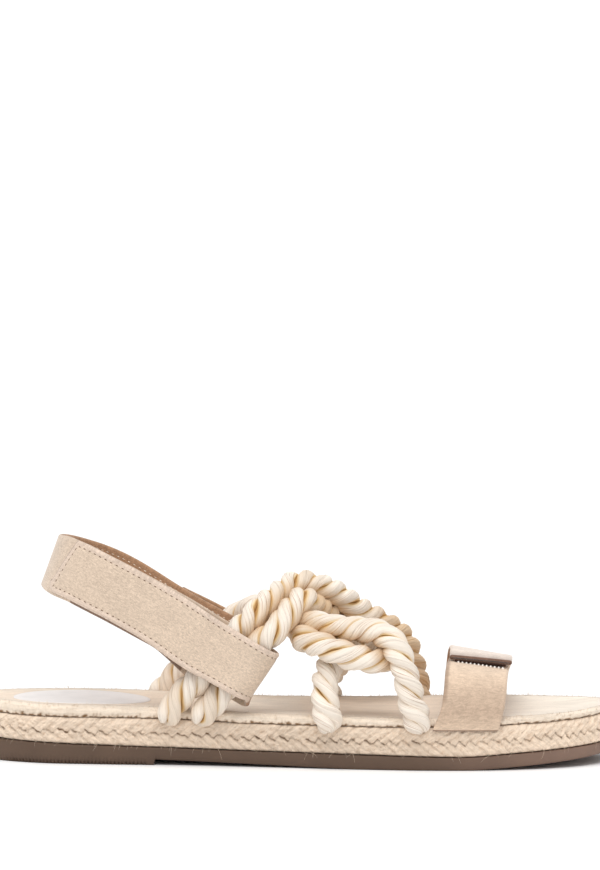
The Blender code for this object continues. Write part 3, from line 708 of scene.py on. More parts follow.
def twisted_cotton_rope(look):
    """Twisted cotton: matte, pale crowns, painted golden shade between the strands, single darker fibres."""
    material, tree, shader = blank("twisted_cotton_rope")
    uv = node(tree, "ShaderNodeUVMap", {"uv_map": "pattern"})
    # Fibres of 0.55 mm, 14 mm long, along the strand, drawn as coarse as they need to show
    fine = node(tree, "ShaderNodeMapping", {"Scale": (1 / 14.0, 1 / 0.55, 1.0)}, Vector=uv.outputs[0])
    streak = node(
        tree, "ShaderNodeTexNoise", {"Scale": 1.0, "Detail": 3.0, "Roughness": 0.6}, Vector=fine.outputs[0]
    )
    # Patches of 20 mm by 2.2 mm, where the fibres show and the tone changes
    wide = node(tree, "ShaderNodeMapping", {"Scale": (1 / 20.0, 1 / 2.2, 1.0)}, Vector=uv.outputs[0])
    tint = node(tree, "ShaderNodeTexNoise", {"Scale": 1.0, "Detail": 2.0}, Vector=wide.outputs[0])
    # The crown mark is the way out from the rope's line, as a share of its radius
    # Where it is low, in the creases, the crease and warm colours paint shade
    depth = node(tree, "ShaderNodeAttribute", {"attribute_name": "crown"})
    flank = node(
        tree, "ShaderNodeMapRange", {"From Min": 0.66, "From Max": 0.76}, Value=depth.outputs["Fac"]
    )
    crown = node(
        tree, "ShaderNodeMapRange", {"From Min": 0.74, "From Max": 0.88}, Value=depth.outputs["Fac"]
    )
    low = node(
        tree,
        "ShaderNodeMix",
        {"data_type": "RGBA", 6: rgba(look.crease), 7: rgba(look.warm)},
        _0=flank.outputs[0],
    )
    high = node(
        tree,
        "ShaderNodeMix",
        {"data_type": "RGBA", 7: rgba(look.pale)},
        _0=crown.outputs[0],
        _6=low.outputs[2],
    )
    lines = node(
        tree,
        "ShaderNodeMapRange",
        {"From Min": 0.5, "From Max": 0.68, "To Max": 0.85},
        Value=streak.outputs[0],
    )
    patch = node(tree, "ShaderNodeMapRange", {"From Min": 0.42, "From Max": 0.62}, Value=tint.outputs[0])
    drawn = node(tree, "ShaderNodeMath", {"operation": "MULTIPLY"}, _0=lines.outputs[0], _1=patch.outputs[0])
    lined = node(
        tree,
        "ShaderNodeMix",
        {"data_type": "RGBA", 7: rgba(look.fibre)},
        _0=drawn.outputs[0],
        _6=high.outputs[2],
    )
    value = node(
        tree,
        "ShaderNodeMapRange",
        {"From Min": 0.3, "From Max": 0.7, "To Min": 0.9, "To Max": 1.05},
        Value=tint.outputs[0],
    )
    # Painted shade where ropes touch, and where a rope lies behind the others, in the shaded colour
    near = node(tree, "ShaderNodeAttribute", {"attribute_name": "shade"})
    touch = node(tree, "ShaderNodeMath", {"operation": "MULTIPLY", 1: 0.6}, _0=near.outputs["Fac"])
    painted_shading = node(
        tree,
        "ShaderNodeMix",
        {"data_type": "RGBA", 7: rgba(look.shaded)},
        _0=touch.outputs[0],
        _6=lined.outputs[2],
    )
    shown = node(tree, "ShaderNodeHueSaturation", {}, Color=painted_shading.outputs[2], Value=value.outputs[0])
    bump = node(tree, "ShaderNodeBump", {"Strength": 0.8, "Distance": 0.0005}, Height=streak.outputs[0])
    links = {"Base_Color": shown.outputs[0], "Normal": bump.outputs[0]}
    wire(tree, shader, {"Roughness": 0.85, "Specular IOR Level": 0.2}, links)
    return material


def braided_jute(look):
    """Braided jute cord: dull, coarse fibres along each cord, and painted shade where the two rows meet."""
    material, tree, shader = blank("braided_jute")
    uv = node(tree, "ShaderNodeUVMap", {"uv_map": "pattern"})
    # Fibres of 0.7 mm, 3 mm long, along the cord
    fine = node(tree, "ShaderNodeMapping", {"Scale": (1 / 3.0, 1 / 0.7, 1.0)}, Vector=uv.outputs[0])
    streak = node(
        tree, "ShaderNodeTexNoise", {"Scale": 1.0, "Detail": 4.0, "Roughness": 0.65}, Vector=fine.outputs[0]
    )
    # Painted shade in the groove, between the cords and at the top edge
    dip = node(tree, "ShaderNodeAttribute", {"attribute_name": "dip"})
    frayed = node(
        tree, "ShaderNodeMath", {"operation": "MULTIPLY_ADD", 1: 0.7, 2: -0.32}, _0=streak.outputs[0]
    )
    both = node(
        tree,
        "ShaderNodeMath",
        {"operation": "SUBTRACT", "use_clamp": True},
        _0=dip.outputs["Fac"],
        _1=frayed.outputs[0],
    )
    base = node(
        tree,
        "ShaderNodeMix",
        {"data_type": "RGBA", 6: rgba(look.jute), 7: rgba(look.jute_dark)},
        _0=both.outputs[0],
    )
    value = node(
        tree,
        "ShaderNodeMapRange",
        {"From Min": 0.25, "From Max": 0.75, "To Min": 0.82, "To Max": 1.1},
        Value=streak.outputs[0],
    )
    tone = node(tree, "ShaderNodeAttribute", {"attribute_name": "tone"})
    shade = node(
        tree, "ShaderNodeMath", {"operation": "MULTIPLY"}, _0=value.outputs[0], _1=tone.outputs["Fac"]
    )
    shown = node(tree, "ShaderNodeHueSaturation", {}, Color=base.outputs[2], Value=shade.outputs[0])
    bump = node(tree, "ShaderNodeBump", {"Strength": 0.7, "Distance": 0.0004}, Height=streak.outputs[0])
    links = {"Base_Color": shown.outputs[0], "Normal": bump.outputs[0]}
    wire(tree, shader, {"Roughness": 0.95, "Specular IOR Level": 0.1}, links)
    return material


def napped_suede(name, outer, inner, edge, rolled, nap):
    """Suede split leather: no gloss, the nap's strokes lie lighter or darker, and a plainer lining inside."""
    material, tree, shader = blank(name)
    uv = node(tree, "ShaderNodeUVMap", {"uv_map": "pattern"})
    # The nap's own strokes, grain of 0.5 mm and clouds of 16 mm by 9 mm
    scales = ((nap.along, nap.across, 3.0), (0.6, 0.5, 2.0), (16.0, 9.0, 2.0))
    ranges = ((1 - nap.strength, 1 + 0.6 * nap.strength), (0.93, 1.05), (0.94, 1.03))
    noises = []
    values = []
    for (along, across, detail), (low, high) in zip(scales, ranges):
        spread = node(
            tree, "ShaderNodeMapping", {"Scale": (1 / along, 1 / across, 1.0)}, Vector=uv.outputs[0]
        )
        noise = node(
            tree,
            "ShaderNodeTexNoise",
            {"Scale": 1.0, "Detail": detail, "Distortion": 1.2},
            Vector=spread.outputs[0],
        )
        noises.append(noise)
        part = node(
            tree,
            "ShaderNodeMapRange",
            {"From Min": 0.34, "From Max": 0.66, "To Min": low, "To Max": high},
            Value=noise.outputs[0],
        )
        values.append(part)
    value = values[0]
    for part in values[1:]:
        value = node(
            tree, "ShaderNodeMath", {"operation": "MULTIPLY"}, _0=value.outputs[0], _1=part.outputs[0]
        )
    # The cut edge colour also paints shade, and the paler rolled colour also paints light
    side = node(tree, "ShaderNodeAttribute", {"attribute_name": "lining"})
    cut = node(tree, "ShaderNodeAttribute", {"attribute_name": "cut"})
    rim = node(tree, "ShaderNodeAttribute", {"attribute_name": "rolled"})
    skin = node(
        tree,
        "ShaderNodeMix",
        {"data_type": "RGBA", 6: rgba(outer), 7: rgba(rolled)},
        _0=rim.outputs["Fac"],
    )
    faces = node(
        tree,
        "ShaderNodeMix",
        {"data_type": "RGBA", 7: rgba(inner)},
        _0=side.outputs["Fac"],
        _6=skin.outputs[2],
    )
    base = node(
        tree,
        "ShaderNodeMix",
        {"data_type": "RGBA", 7: rgba(edge)},
        _0=cut.outputs["Fac"],
        _6=faces.outputs[2],
    )
    shown = node(tree, "ShaderNodeHueSaturation", {}, Color=base.outputs[2], Value=value.outputs[0])
    bump = node(tree, "ShaderNodeBump", {"Strength": 0.3, "Distance": 0.0003}, Height=noises[0].outputs[0])
    links = {"Base_Color": shown.outputs[0], "Normal": bump.outputs[0]}
    dull = {"Roughness": 0.95, "Specular IOR Level": 0.1, "Sheen Weight": 0.3, "Sheen Roughness": 0.5}
    wire(tree, shader, dull, links)
    return material


def moulded_rubber(look):
    """Moulded rubber: matte with a faint sheen, a fine mould texture, and paler towards the toe."""
    material, tree, shader = blank("moulded_rubber")
    place_on = node(tree, "ShaderNodeTexCoord")
    split = node(tree, "ShaderNodeSeparateXYZ", {}, Vector=place_on.outputs["Object"])
    # The colour turns paler between 45 mm and 110 mm ahead of the middle
    along = node(tree, "ShaderNodeMapRange", {"From Min": 0.045, "From Max": 0.11}, Value=split.outputs[0])
    base = node(
        tree,
        "ShaderNodeMix",
        {"data_type": "RGBA", 6: rgba(look.rubber), 7: rgba(look.rubber_toe)},
        _0=along.outputs[0],
    )
    # Mould texture of about 0.8 mm, drawn as coarse as it needs to show, and clouds of 12 mm
    skin = node(
        tree, "ShaderNodeTexNoise", {"Scale": 1 / 0.0008, "Detail": 2.0}, Vector=place_on.outputs["Object"]
    )
    cloud = node(
        tree, "ShaderNodeTexNoise", {"Scale": 1 / 0.012, "Detail": 3.0}, Vector=place_on.outputs["Object"]
    )
    value = node(
        tree,
        "ShaderNodeMapRange",
        {"From Min": 0.3, "From Max": 0.7, "To Min": 0.93, "To Max": 1.06},
        Value=cloud.outputs[0],
    )
    shown = node(tree, "ShaderNodeHueSaturation", {}, Color=base.outputs[2], Value=value.outputs[0])
    bump = node(tree, "ShaderNodeBump", {"Strength": 0.15, "Distance": 0.0002}, Height=skin.outputs[0])
    links = {"Base_Color": shown.outputs[0], "Normal": bump.outputs[0]}
    wire(tree, shader, {"Roughness": 0.6, "IOR": 1.5, "Specular IOR Level": 0.35}, links)
    return material


def plain_fibre(name, three, roughness):
    """Thread or hair of one colour with slight changes along it."""
    material, tree, shader = blank(name)
    place_on = node(tree, "ShaderNodeTexCoord")
    # Changes every 3 mm
    cloud = node(
        tree, "ShaderNodeTexNoise", {"Scale": 1 / 0.003, "Detail": 2.0}, Vector=place_on.outputs["Object"]
    )
    value = node(
        tree,
        "ShaderNodeMapRange",
        {"From Min": 0.3, "From Max": 0.7, "To Min": 0.8, "To Max": 1.15},
        Value=cloud.outputs[0],
    )
    shown = node(tree, "ShaderNodeHueSaturation", {"Color": rgba(three)}, Value=value.outputs[0])
    dull = {"Roughness": roughness, "Specular IOR Level": 0.2}
    wire(tree, shader, dull, {"Base_Color": shown.outputs[0]})
    return material


def smooth_leather(look):
    """Smooth coated leather: pale grey, a little gloss, very fine grain."""
    material, tree, shader = blank("smooth_leather")
    place_on = node(tree, "ShaderNodeTexCoord")
    # Grain of 0.7 mm and clouds of 9 mm
    grain = node(tree, "ShaderNodeTexVoronoi", {"Scale": 1 / 0.0007}, Vector=place_on.outputs["Object"])
    cloud = node(
        tree, "ShaderNodeTexNoise", {"Scale": 1 / 0.009, "Detail": 3.0}, Vector=place_on.outputs["Object"]
    )
    value = node(
        tree,
        "ShaderNodeMapRange",
        {"From Min": 0.3, "From Max": 0.7, "To Min": 0.95, "To Max": 1.03},
        Value=cloud.outputs[0],
    )
    shown = node(tree, "ShaderNodeHueSaturation", {"Color": rgba(look.oval)}, Value=value.outputs[0])
    bump = node(tree, "ShaderNodeBump", {"Strength": 0.1, "Distance": 0.0001}, Height=grain.outputs[0])
    links = {"Base_Color": shown.outputs[0], "Normal": bump.outputs[0]}
    wire(tree, shader, {"Roughness": 0.5}, links)
    return material


def ring_caps(index):
    """Faces over a closed ring, in strips between the same places on its two sides, from tip to tip."""
    count = len(index)
    half = count // 2
    i = np.arange(1, half - 1)
    strips = np.stack([index[i], index[i + 1], index[count - i - 1], index[count - i]], axis=1).tolist()
    tips = [(index[0], index[1], index[count - 1]), (index[half - 1], index[half], index[half + 1])]
    return strips + tips


def turned(faces):
    return [tuple(face)[::-1] for face in faces]


def walled(points, uv=None, **marks):
    """A shell of closed rings one over the other, with caps at its foot and its top."""
    shell = Shell()
    index = shell.add(points, uv, **marks)
    shell.quads(index, wrap=True)
    shell.polygons(turned(ring_caps(index[0])))
    shell.polygons(ring_caps(index[-1]))
    return shell


def rods(points):
    """A shell of many small rods, each a stack of rings that is closed at both ends."""
    shell = Shell()
    index = shell.add(points)
    shell.quads(index, wrap=True, flip=True)
    shell.polygons(index[:, 0, :].tolist())
    shell.polygons(index[:, -1, ::-1].tolist())
    return shell


def outsole_shell(look):
    """Outline carried up a wall. A triangle wave cuts the heel's lower edge, the arch hollows the waist."""
    loop = sole_outline(SOLE_SIDE_POINTS)
    x = loop[:, 0]
    arch = np.interp(x, column(ARCH, "x"), column(ARCH, "z"), right=ARCH[0].z)
    low = np.maximum(height("ground", x), arch)
    top = height("outsole_top", x)
    wave = np.abs(2 * np.modf(run_along(loop) / (look.rib / MM))[0] - 1)
    ribs = RIB_DEPTH * column(OUTSOLE_WALL, "ribbed")[:, None] * wave * within(HEEL_RIBS, x)
    inset = column(OUTSOLE_WALL, "inset")[:, None] + ribs
    points = np.empty((len(OUTSOLE_WALL), len(loop), 3))
    points[..., :2] = loop + inward(loop) * inset[..., None]
    points[..., 2] = low + column(OUTSOLE_WALL, "share")[:, None] * (top - low)
    return walled(points)


def fuzz(shape, passes, seed):
    """Seeded noise on a grid closed round its columns, blurred by its neighbours and set to a spread of 1."""
    noise = np.random.default_rng(seed).normal(size=shape)
    for _ in range(passes):
        noise = noise + np.roll(noise, 1, axis=1) + np.roll(noise, -1, axis=1)
        noise[1:-1] = noise[1:-1] + noise[:-2] + noise[2:]
    return noise / noise.std()


def jute_shell(look):
    """Wall round the outline raised by two rows of cords.

    A cord of the upper row leans forward as it climbs, one of the lower row as it falls. Each is half
    an ellipse across, and sinks where it nears the line between the rows, and the higher of the two rows
    counts at each place. Between the rows goes a groove along a saw-tooth, which falls evenly along each
    tooth and comes back up. Fine noise makes it fibrous.
    """
    loop = sole_outline(SOLE_SIDE_POINTS)
    along = run_along(np.vstack([loop, loop[:1]]))
    around = along[-1]
    along = along[:-1]
    x = loop[:, 0]
    pitch = np.interp(x, JUTE_TEETH, (look.tooth / MM, look.tooth_toe / MM))
    count_up = np.cumsum(1.0 / pitch)
    teeth = round(count_up[-1] * around / len(loop))
    count_up = count_up * teeth / count_up[-1]
    low = height("outsole_top", x) + GAP
    rise = height("midsole_top", x) - low
    climb = np.linspace(0.0, 1.0, JUTE_WALL_ROWS)
    share = np.concatenate([np.zeros(JUTE_TURN_ROWS), climb, np.ones(JUTE_TURN_ROWS)])[:, None]
    turn_in = JUTE_EDGE_ROUND + np.linspace(*JUTE_TURN_IN, JUTE_TURN_ROWS)
    rounded = JUTE_EDGE_ROUND * np.abs(2 * climb - 1) ** 6
    inset = JUTE_INSET + np.concatenate([turn_in[::-1], rounded, turn_in])[:, None]
    # Places along the braid in teeth, and heights over the line between the rows
    u = count_up + JUTE_STRAY * wobble(along, 29.0, 3) * np.sin(math.pi * along / around)
    middle = JUTE_MIDDLE + JUTE_MIDDLE_WAVE * wobble(along, 19.0, 5)
    above = (share - middle) * rise
    rows = []
    for place_in, away, depth, seed in (
        (u - above * JUTE_LEAN / pitch, above, 1.0, 11),
        (u + above * JUTE_LEAN / pitch + 0.5, -above, JUTE_LOWER_ROW, 29),
    ):
        leaf = np.floor(place_in)
        across = 2 * (place_in - leaf) - 1
        plump = np.cos(math.pi / 2 * across)
        reach = depth * (0.7 + 0.5 * scatter(leaf % teeth, seed))
        rows.append((plump * reach * smooth(*JUTE_SINK, away), leaf % teeth + seed * teeth, across, away))
    higher = rows[0][0] >= rows[1][0]
    relief, leaf, across, away = (np.where(higher, rows[0][k], rows[1][k]) for k in range(4))
    wall_share = within(JUTE_WALL, share)
    tooth = np.floor(u)
    on_tooth = u - tooth
    falls = 0.62 + 0.2 * scatter(tooth % teeth, 21)
    saw = np.where(on_tooth < falls, 0.5 - on_tooth / falls, (on_tooth - falls) / (1 - falls) - 0.5)
    saw = JUTE_SAW * saw * (0.55 + 0.7 * scatter(tooth % teeth, 23)) + JUTE_SAW_WAVE * wobble(along, 3.2, 27)
    drawn = np.where(on_tooth < falls, 1.0, 0.55) * (0.75 + 0.25 * wobble(along, 4.5, 29))
    groove = np.exp(-(((above - saw) / JUTE_GROOVE) ** 2)) * drawn
    cords = relief * JUTE_CORDS * (look.relief / MM) * (0.45 + 0.55 * wall_share)
    outward = cords - JUTE_GROOVE_DEPTH * groove
    outward = outward + JUTE_PLUMP * wall_share * np.sqrt(np.clip(np.abs(above) / JUTE_PLUMP_RUN, 0.0, 1.0))
    rough = JUTE_FINE * fuzz(relief.shape, 1, 31) + JUTE_COARSE * fuzz(relief.shape, 4, 45)
    outward = outward + rough * wall_share
    points = np.empty((len(share), len(loop), 3))
    points[..., :2] = loop + inward(loop) * (inset - outward)[..., None]
    points[..., 2] = low + share * rise + JUTE_LIP * smooth(0.9, 1.0, share)
    uv = np.stack([away * 1.6 + leaf * 17.0, across * pitch * 0.4 + leaf * 5.0], axis=-1)
    # Painted shade in the groove, a little between the cords, and at the top edge under the insole
    dip = groove * (0.45 + 0.8 * scatter(tooth % teeth, 3))
    dip = dip + 0.16 * (1 - smooth(0.1, 0.5, relief)) * scatter(leaf, 13)
    dip = dip + 0.4 * smooth(0.985, 1.0, share + 0.004 * fuzz(relief.shape, 2, 33))
    # Painted shade along the foot, and a tone for each cord that differs at random
    painted_shading = np.interp(x, column(JUTE_TONE, "x"), column(JUTE_TONE, "value"))
    return walled(points, uv, dip=dip, tone=painted_shading * (0.95 + 0.1 * scatter(leaf, 7)))


def hairs(roots, ways, lengths, hair, seed):
    """Thin three-sided hairs: each goes its way from its root, curls, droops and thins to its tip."""
    draw = np.random.default_rng(seed)
    t = np.linspace(0.0, 1.0, hair.steps)
    curl = unit(draw.normal(size=(len(roots), 3)))
    line = roots[:, None] + ways[:, None] * (lengths[:, None] * t)[..., None]
    line = line + curl[:, None] * (HAIR_CURL * lengths[:, None] * t**2)[..., None]
    line[..., 2] -= hair.droop * lengths[:, None] * t**2
    run = unit(np.gradient(line, axis=1))
    first = unit(np.cross(run, np.array([0.31, 0.52, 0.79])))
    second = np.cross(run, first)
    turn = (TAU * np.arange(3) / 3)[None, None, :, None]
    radius = hair.thickness * (1 - HAIR_TAPER * t)[None, :, None, None]
    ring = first[:, :, None] * np.cos(turn) + second[:, :, None] * np.sin(turn)
    return rods(line[:, :, None] + radius * ring)


def insole_shell():
    """Rounded wall round the outline, stirred by waves and noise, with a top that is a parabola across."""
    loop = sole_outline(INSOLE_SIDE_POINTS)
    along = run_along(np.vstack([loop, loop[:1]]))[:-1]
    x = loop[:, 0]
    low = height("midsole_top", x) + GAP
    rise = height("insole_thickness", x) - GAP
    angles = np.radians(np.linspace(-90.0, 90.0, 18))
    share = 0.5 + 0.5 * np.sin(angles)
    bulge = np.maximum(np.cos(angles), 0.0) ** np.where(angles < 0.0, 0.35, 0.9)
    inset = (INSOLE_RIM - (INSOLE_RIM - 1.0) * bulge)[:, None]
    inset = inset + INSOLE_RIPPLE * wobble(along, 6.0, 17) + INSOLE_SWAY * wobble(along, 19.0, 19)
    inset = inset + INSOLE_ROUGH * fuzz(inset.shape, 1, 35) * bulge[:, None]
    points = np.empty((len(angles), len(loop), 3))
    points[..., :2] = loop + inward(loop) * inset[..., None]
    points[..., 2] = low + share[:, None] * rise
    points[..., 2] += INSOLE_HEAVE * wobble(along, 9.0, 23) * np.sin(math.pi * share)[:, None]
    uv = np.stack(np.broadcast_arrays(along, share[:, None] * 5.0), axis=-1)
    # A rough seam of painted shade at the rim's foot, and short strokes of the nap that rise from it
    rough = 0.15 * wobble(along, 2.7, 37) + 0.07 * fuzz(inset.shape, 1, 39)
    seam_here = 1 - smooth(*INSOLE_SEAM, share[:, None] + rough)
    strokes = np.clip(fuzz((3, len(loop)), 0, 57)[1], 0.0, 2.0)
    strokes = strokes * np.clip(1 + 0.5 * fuzz(inset.shape, 1, 59), 0.0, 2.0)
    strokes = INSOLE_STROKES * strokes * (1 - smooth(*INSOLE_STROKE_RISE, share))[:, None]
    shell = Shell()
    index = shell.add(points, uv, lining=np.ones(inset.shape), cut=np.maximum(seam_here, strokes))
    shell.quads(index, wrap=True)
    shell.polygons(turned(ring_caps(index[0])))
    ring = points[-1]
    half = len(loop) // 2
    left = ring[1:half][:, None]
    right = ring[::-1][: half - 1][:, None]
    part = (np.arange(1, INSOLE_ACROSS) / INSOLE_ACROSS)[None, :, None]
    top = left + (right - left) * part
    top[..., 2] -= INSOLE_DISH * (1 - (2 * part[..., 0] - 1) ** 2)
    # Brushed paler near the rim, paler at the toe, paler as painted light under the ropes, and darker
    # between the front legs
    from_edge = np.linalg.norm(right - left, axis=-1) * np.minimum(part[..., 0], 1 - part[..., 0])
    station = left[..., 0] + 0 * from_edge
    brushed_and_lit = 1 - smooth(0.0, INSOLE_BRUSHED, from_edge + 1.2 * wobble(left[..., 0], 11.0, 47))
    toe = smooth(*INSOLE_TOE, station)
    pale = np.maximum(toe, within(INSOLE_LIT, station))
    darker_here = INSOLE_DARKER * within(INSOLE_DARKER_SPAN, station)
    inner = shell.add(top, top[..., :2], lining=brushed_and_lit * (1 - toe), rolled=pale, cut=darker_here)
    medial = index[-1][::-1][: half - 1]
    grid = np.concatenate([index[-1][1:half][:, None], inner, medial[:, None]], axis=1)
    shell.quads(grid)
    ends = [(index[-1][0], grid[0, k], grid[0, k + 1]) for k in range(INSOLE_ACROSS)]
    ends += [(index[-1][half], grid[-1, k + 1], grid[-1, k]) for k in range(INSOLE_ACROSS)]
    shell.polygons(ends)
    return shell


def insole_top_z(x, y):
    """Height of the insole's top at a place, from its edge height less the parabola across."""
    lateral = edge_y(x, -1) + INSOLE_RIM
    medial = edge_y(x, 1) - INSOLE_RIM
    part = np.clip((y - lateral) / (medial - lateral), 0.0, 1.0)
    return height("midsole_top", x) + height("insole_thickness", x) - INSOLE_DISH * (1 - (2 * part - 1) ** 2)


def oval_shell(look):
    """Disc of rings from a centre to an ellipse, laid on the insole, its rim turned down."""
    radii = np.concatenate([np.linspace(0.06, 0.97, 14), [1.0, 1.0]])[:, None]
    lift = np.concatenate([np.full(14, 0.28), [0.2, -0.3]])[:, None]
    turn = np.linspace(0.0, TAU, 96, endpoint=False)
    x = OVAL_CENTRE[0] + 0.5 * look.oval_length / MM * radii * np.cos(turn)
    y = OVAL_CENTRE[1] + 0.5 * look.oval_width / MM * radii * np.sin(turn)
    points = np.stack([x, y, insole_top_z(x, y) + lift], axis=-1)
    shell = Shell()
    index = shell.add(points, points[..., :2])
    shell.quads(index, wrap=True, flip=True)
    shell.polygons([index[0], index[-1][::-1]])
    return shell


def rope_line(route, radius):
    """The rope's line with a radius added straight on at each end, evenly spaced."""
    curve = through(route, 40)
    first = curve[0] + unit(curve[0] - curve[1]) * radius
    last = curve[-1] + unit(curve[-1] - curve[-2]) * radius
    curve = np.vstack([first, curve, last])
    return evenly(curve, round(run_along(curve)[-1] / ROPE_RING_STEP) + 1)


def carried_frames(line):
    """Two normals at each point of a line, carried along it without turning about it."""
    run = unit(np.gradient(line, axis=0))
    first = np.empty_like(run)
    side = np.cross(run[0], (0.0, 0.0, 1.0))
    if np.linalg.norm(side) < 0.1:
        side = np.cross(run[0], (1.0, 0.0, 0.0))
    first[0] = side / np.linalg.norm(side)
    for i in range(1, len(run)):
        kept = first[i - 1] - run[i] * np.dot(first[i - 1], run[i])
        first[i] = kept / np.linalg.norm(kept)
    return first, np.cross(run, first)


def lay_pitch(run, twist):
    """Length of a strand's turn at each length along the rope, changed evenly between the twist's rows."""
    return np.interp(run / run[-1], twist.shares, twist.pitches)


def contact(name, points, radius):
    """How near each point is to the skin of another rope: 1 where they touch, 0 from a short reach away."""
    others = np.concatenate([rope_line(route, radius)[::4] for key, route in ROUTES.items() if key != name])
    flat = points.reshape(-1, 3)
    square = (flat**2).sum(axis=1)[:, None] + (others**2).sum(axis=1) - 2 * flat @ others.T
    away = np.sqrt(np.maximum(square.min(axis=1), 0.0)).reshape(points.shape[:-1])
    return 1 - smooth(radius, radius + CONTACT_REACH, away)


def rope_shell(name, look):
    """Three strands wound left-handed round the rope's line.

    Each strand's line is the rope's line plus an offset that turns with the lay, once in each pitch. Round
    it goes an ellipse with small yarn ridges, narrowed by the cosine of the strand's slant, and at the rope's
    ends the offset and the ellipse shrink to a dome.
    """
    radius = look.radius / MM
    twist = ROPE_TWIST[name]
    line = rope_line(ROUTES[name], radius)
    first, second = carried_frames(line)
    length = run_along(line)
    to_front = length[-1] - length
    from_end = np.minimum(length, to_front)
    dome = np.sqrt(np.clip(1 - (1 - np.clip(from_end / radius, 0.0, 1.0)) ** 2, 0.0036, 1.0))
    pitch = lay_pitch(length, twist)
    turns = np.concatenate([[0.0], np.cumsum(np.diff(length) / pitch[1:])])
    slant = np.cos(np.arctan2(TAU * look.strand_offset / MM, pitch))
    seed = list(ROUTES).index(name) * 10
    aged = twist.aged * within(twist.behind, length / length[-1])
    rear = 1 - smooth(*REAR_RUN, length)
    phi = np.linspace(0.0, TAU, STRAND_SIDES, endpoint=False)
    shell = Shell()
    for strand in range(STRANDS):
        slip = STRAND_SLIP * wobble(length, 21.0, seed + strand)
        angle = TAU * (strand / STRANDS - turns + slip)
        plump = 1 + STRAND_PLUMP * wobble(length, 15.0, seed + strand + 3)
        plump = plump * (1 + LEG_FLARE * (1 - smooth(0.0, LEG_FLARE_RUN, to_front)))
        radial = first * np.cos(angle)[:, None] + second * np.sin(angle)[:, None]
        centre = line + radial * (look.strand_offset / MM * dome)[:, None]
        ahead = unit(np.gradient(centre, axis=0))
        radial = unit(radial - ahead * np.sum(radial * ahead, axis=1)[:, None])
        flank = np.cross(ahead, radial)
        strand_length = run_along(centre)
        ridge = np.cos(YARNS * phi + TAU * strand_length[:, None] * YARNS / YARN_PITCH / 3)
        ridge = 1 + YARN_RIDGE * ridge + STRAND_LUMPS * fuzz(ridge.shape, 3, seed + strand + 6)
        size_here = (dome * plump)[:, None] * ridge
        out = look.strand_depth / MM * size_here * np.cos(phi)
        aside = look.strand_width / MM * size_here * slant[:, None] * np.sin(phi)
        points = centre[:, None] + radial[:, None] * out[..., None] + flank[:, None] * aside[..., None]
        # The crown mark paints shade in the creases and leaves the crowns pale; the front leg and ends get
        # less
        crown = np.linalg.norm(points - line[:, None], axis=-1) / radius
        crown += LEG_PALE * (1 - smooth(*LEG_PALE_RUN, to_front))[:, None]
        crown += END_PALE * (1 - smooth(*END_PALE_RUN, from_end))[:, None]
        crown = crown / np.maximum(dome, 0.3)[:, None]
        # The shade mark makes it tan on some lobes and one strand of the rear leg, and paints shade where
        # ropes touch and where a rope lies behind the others
        lobes = TAN_LOBES * np.clip(wobble(length, 24.0, seed + strand + 9), 0.0, 1.0)
        lobes = np.maximum(lobes * smooth(*LOBES_RUN, to_front), REAR_TAN * (strand == 1) * rear)
        touch = contact(name, points, radius) * (1 - REAR_PALE * rear)[:, None]
        shade = np.maximum(touch, np.maximum(aged, lobes)[:, None])
        lengthwise = strand_length[:, None] + strand * STRAND_UV_STEP
        uv = np.stack(np.broadcast_arrays(lengthwise, phi * STRAND_UV_RADIUS), axis=-1)
        index = shell.add(points, uv, crown=crown, shade=shade)
        shell.quads(index, wrap=True, flip=True)
        shell.polygons([index[0], index[-1][::-1]])
    return shell


def rim_rows(sheet, half):
    """The sheet with rows at both ends that round its thickness off, and each row's share of half of it."""
    angles = np.radians((84.0, 62.0, 38.0, 18.0))
    first = unit(sheet[0] - sheet[1])
    last = unit(sheet[-1] - sheet[-2])
    before = [sheet[0] + first * half * math.sin(a) for a in angles]
    after = [sheet[-1] + last * half * math.sin(a) for a in angles[::-1]]
    share = np.concatenate([np.cos(angles), np.ones(len(sheet)), np.cos(angles[::-1])])
    return np.concatenate([before, sheet, after]), share


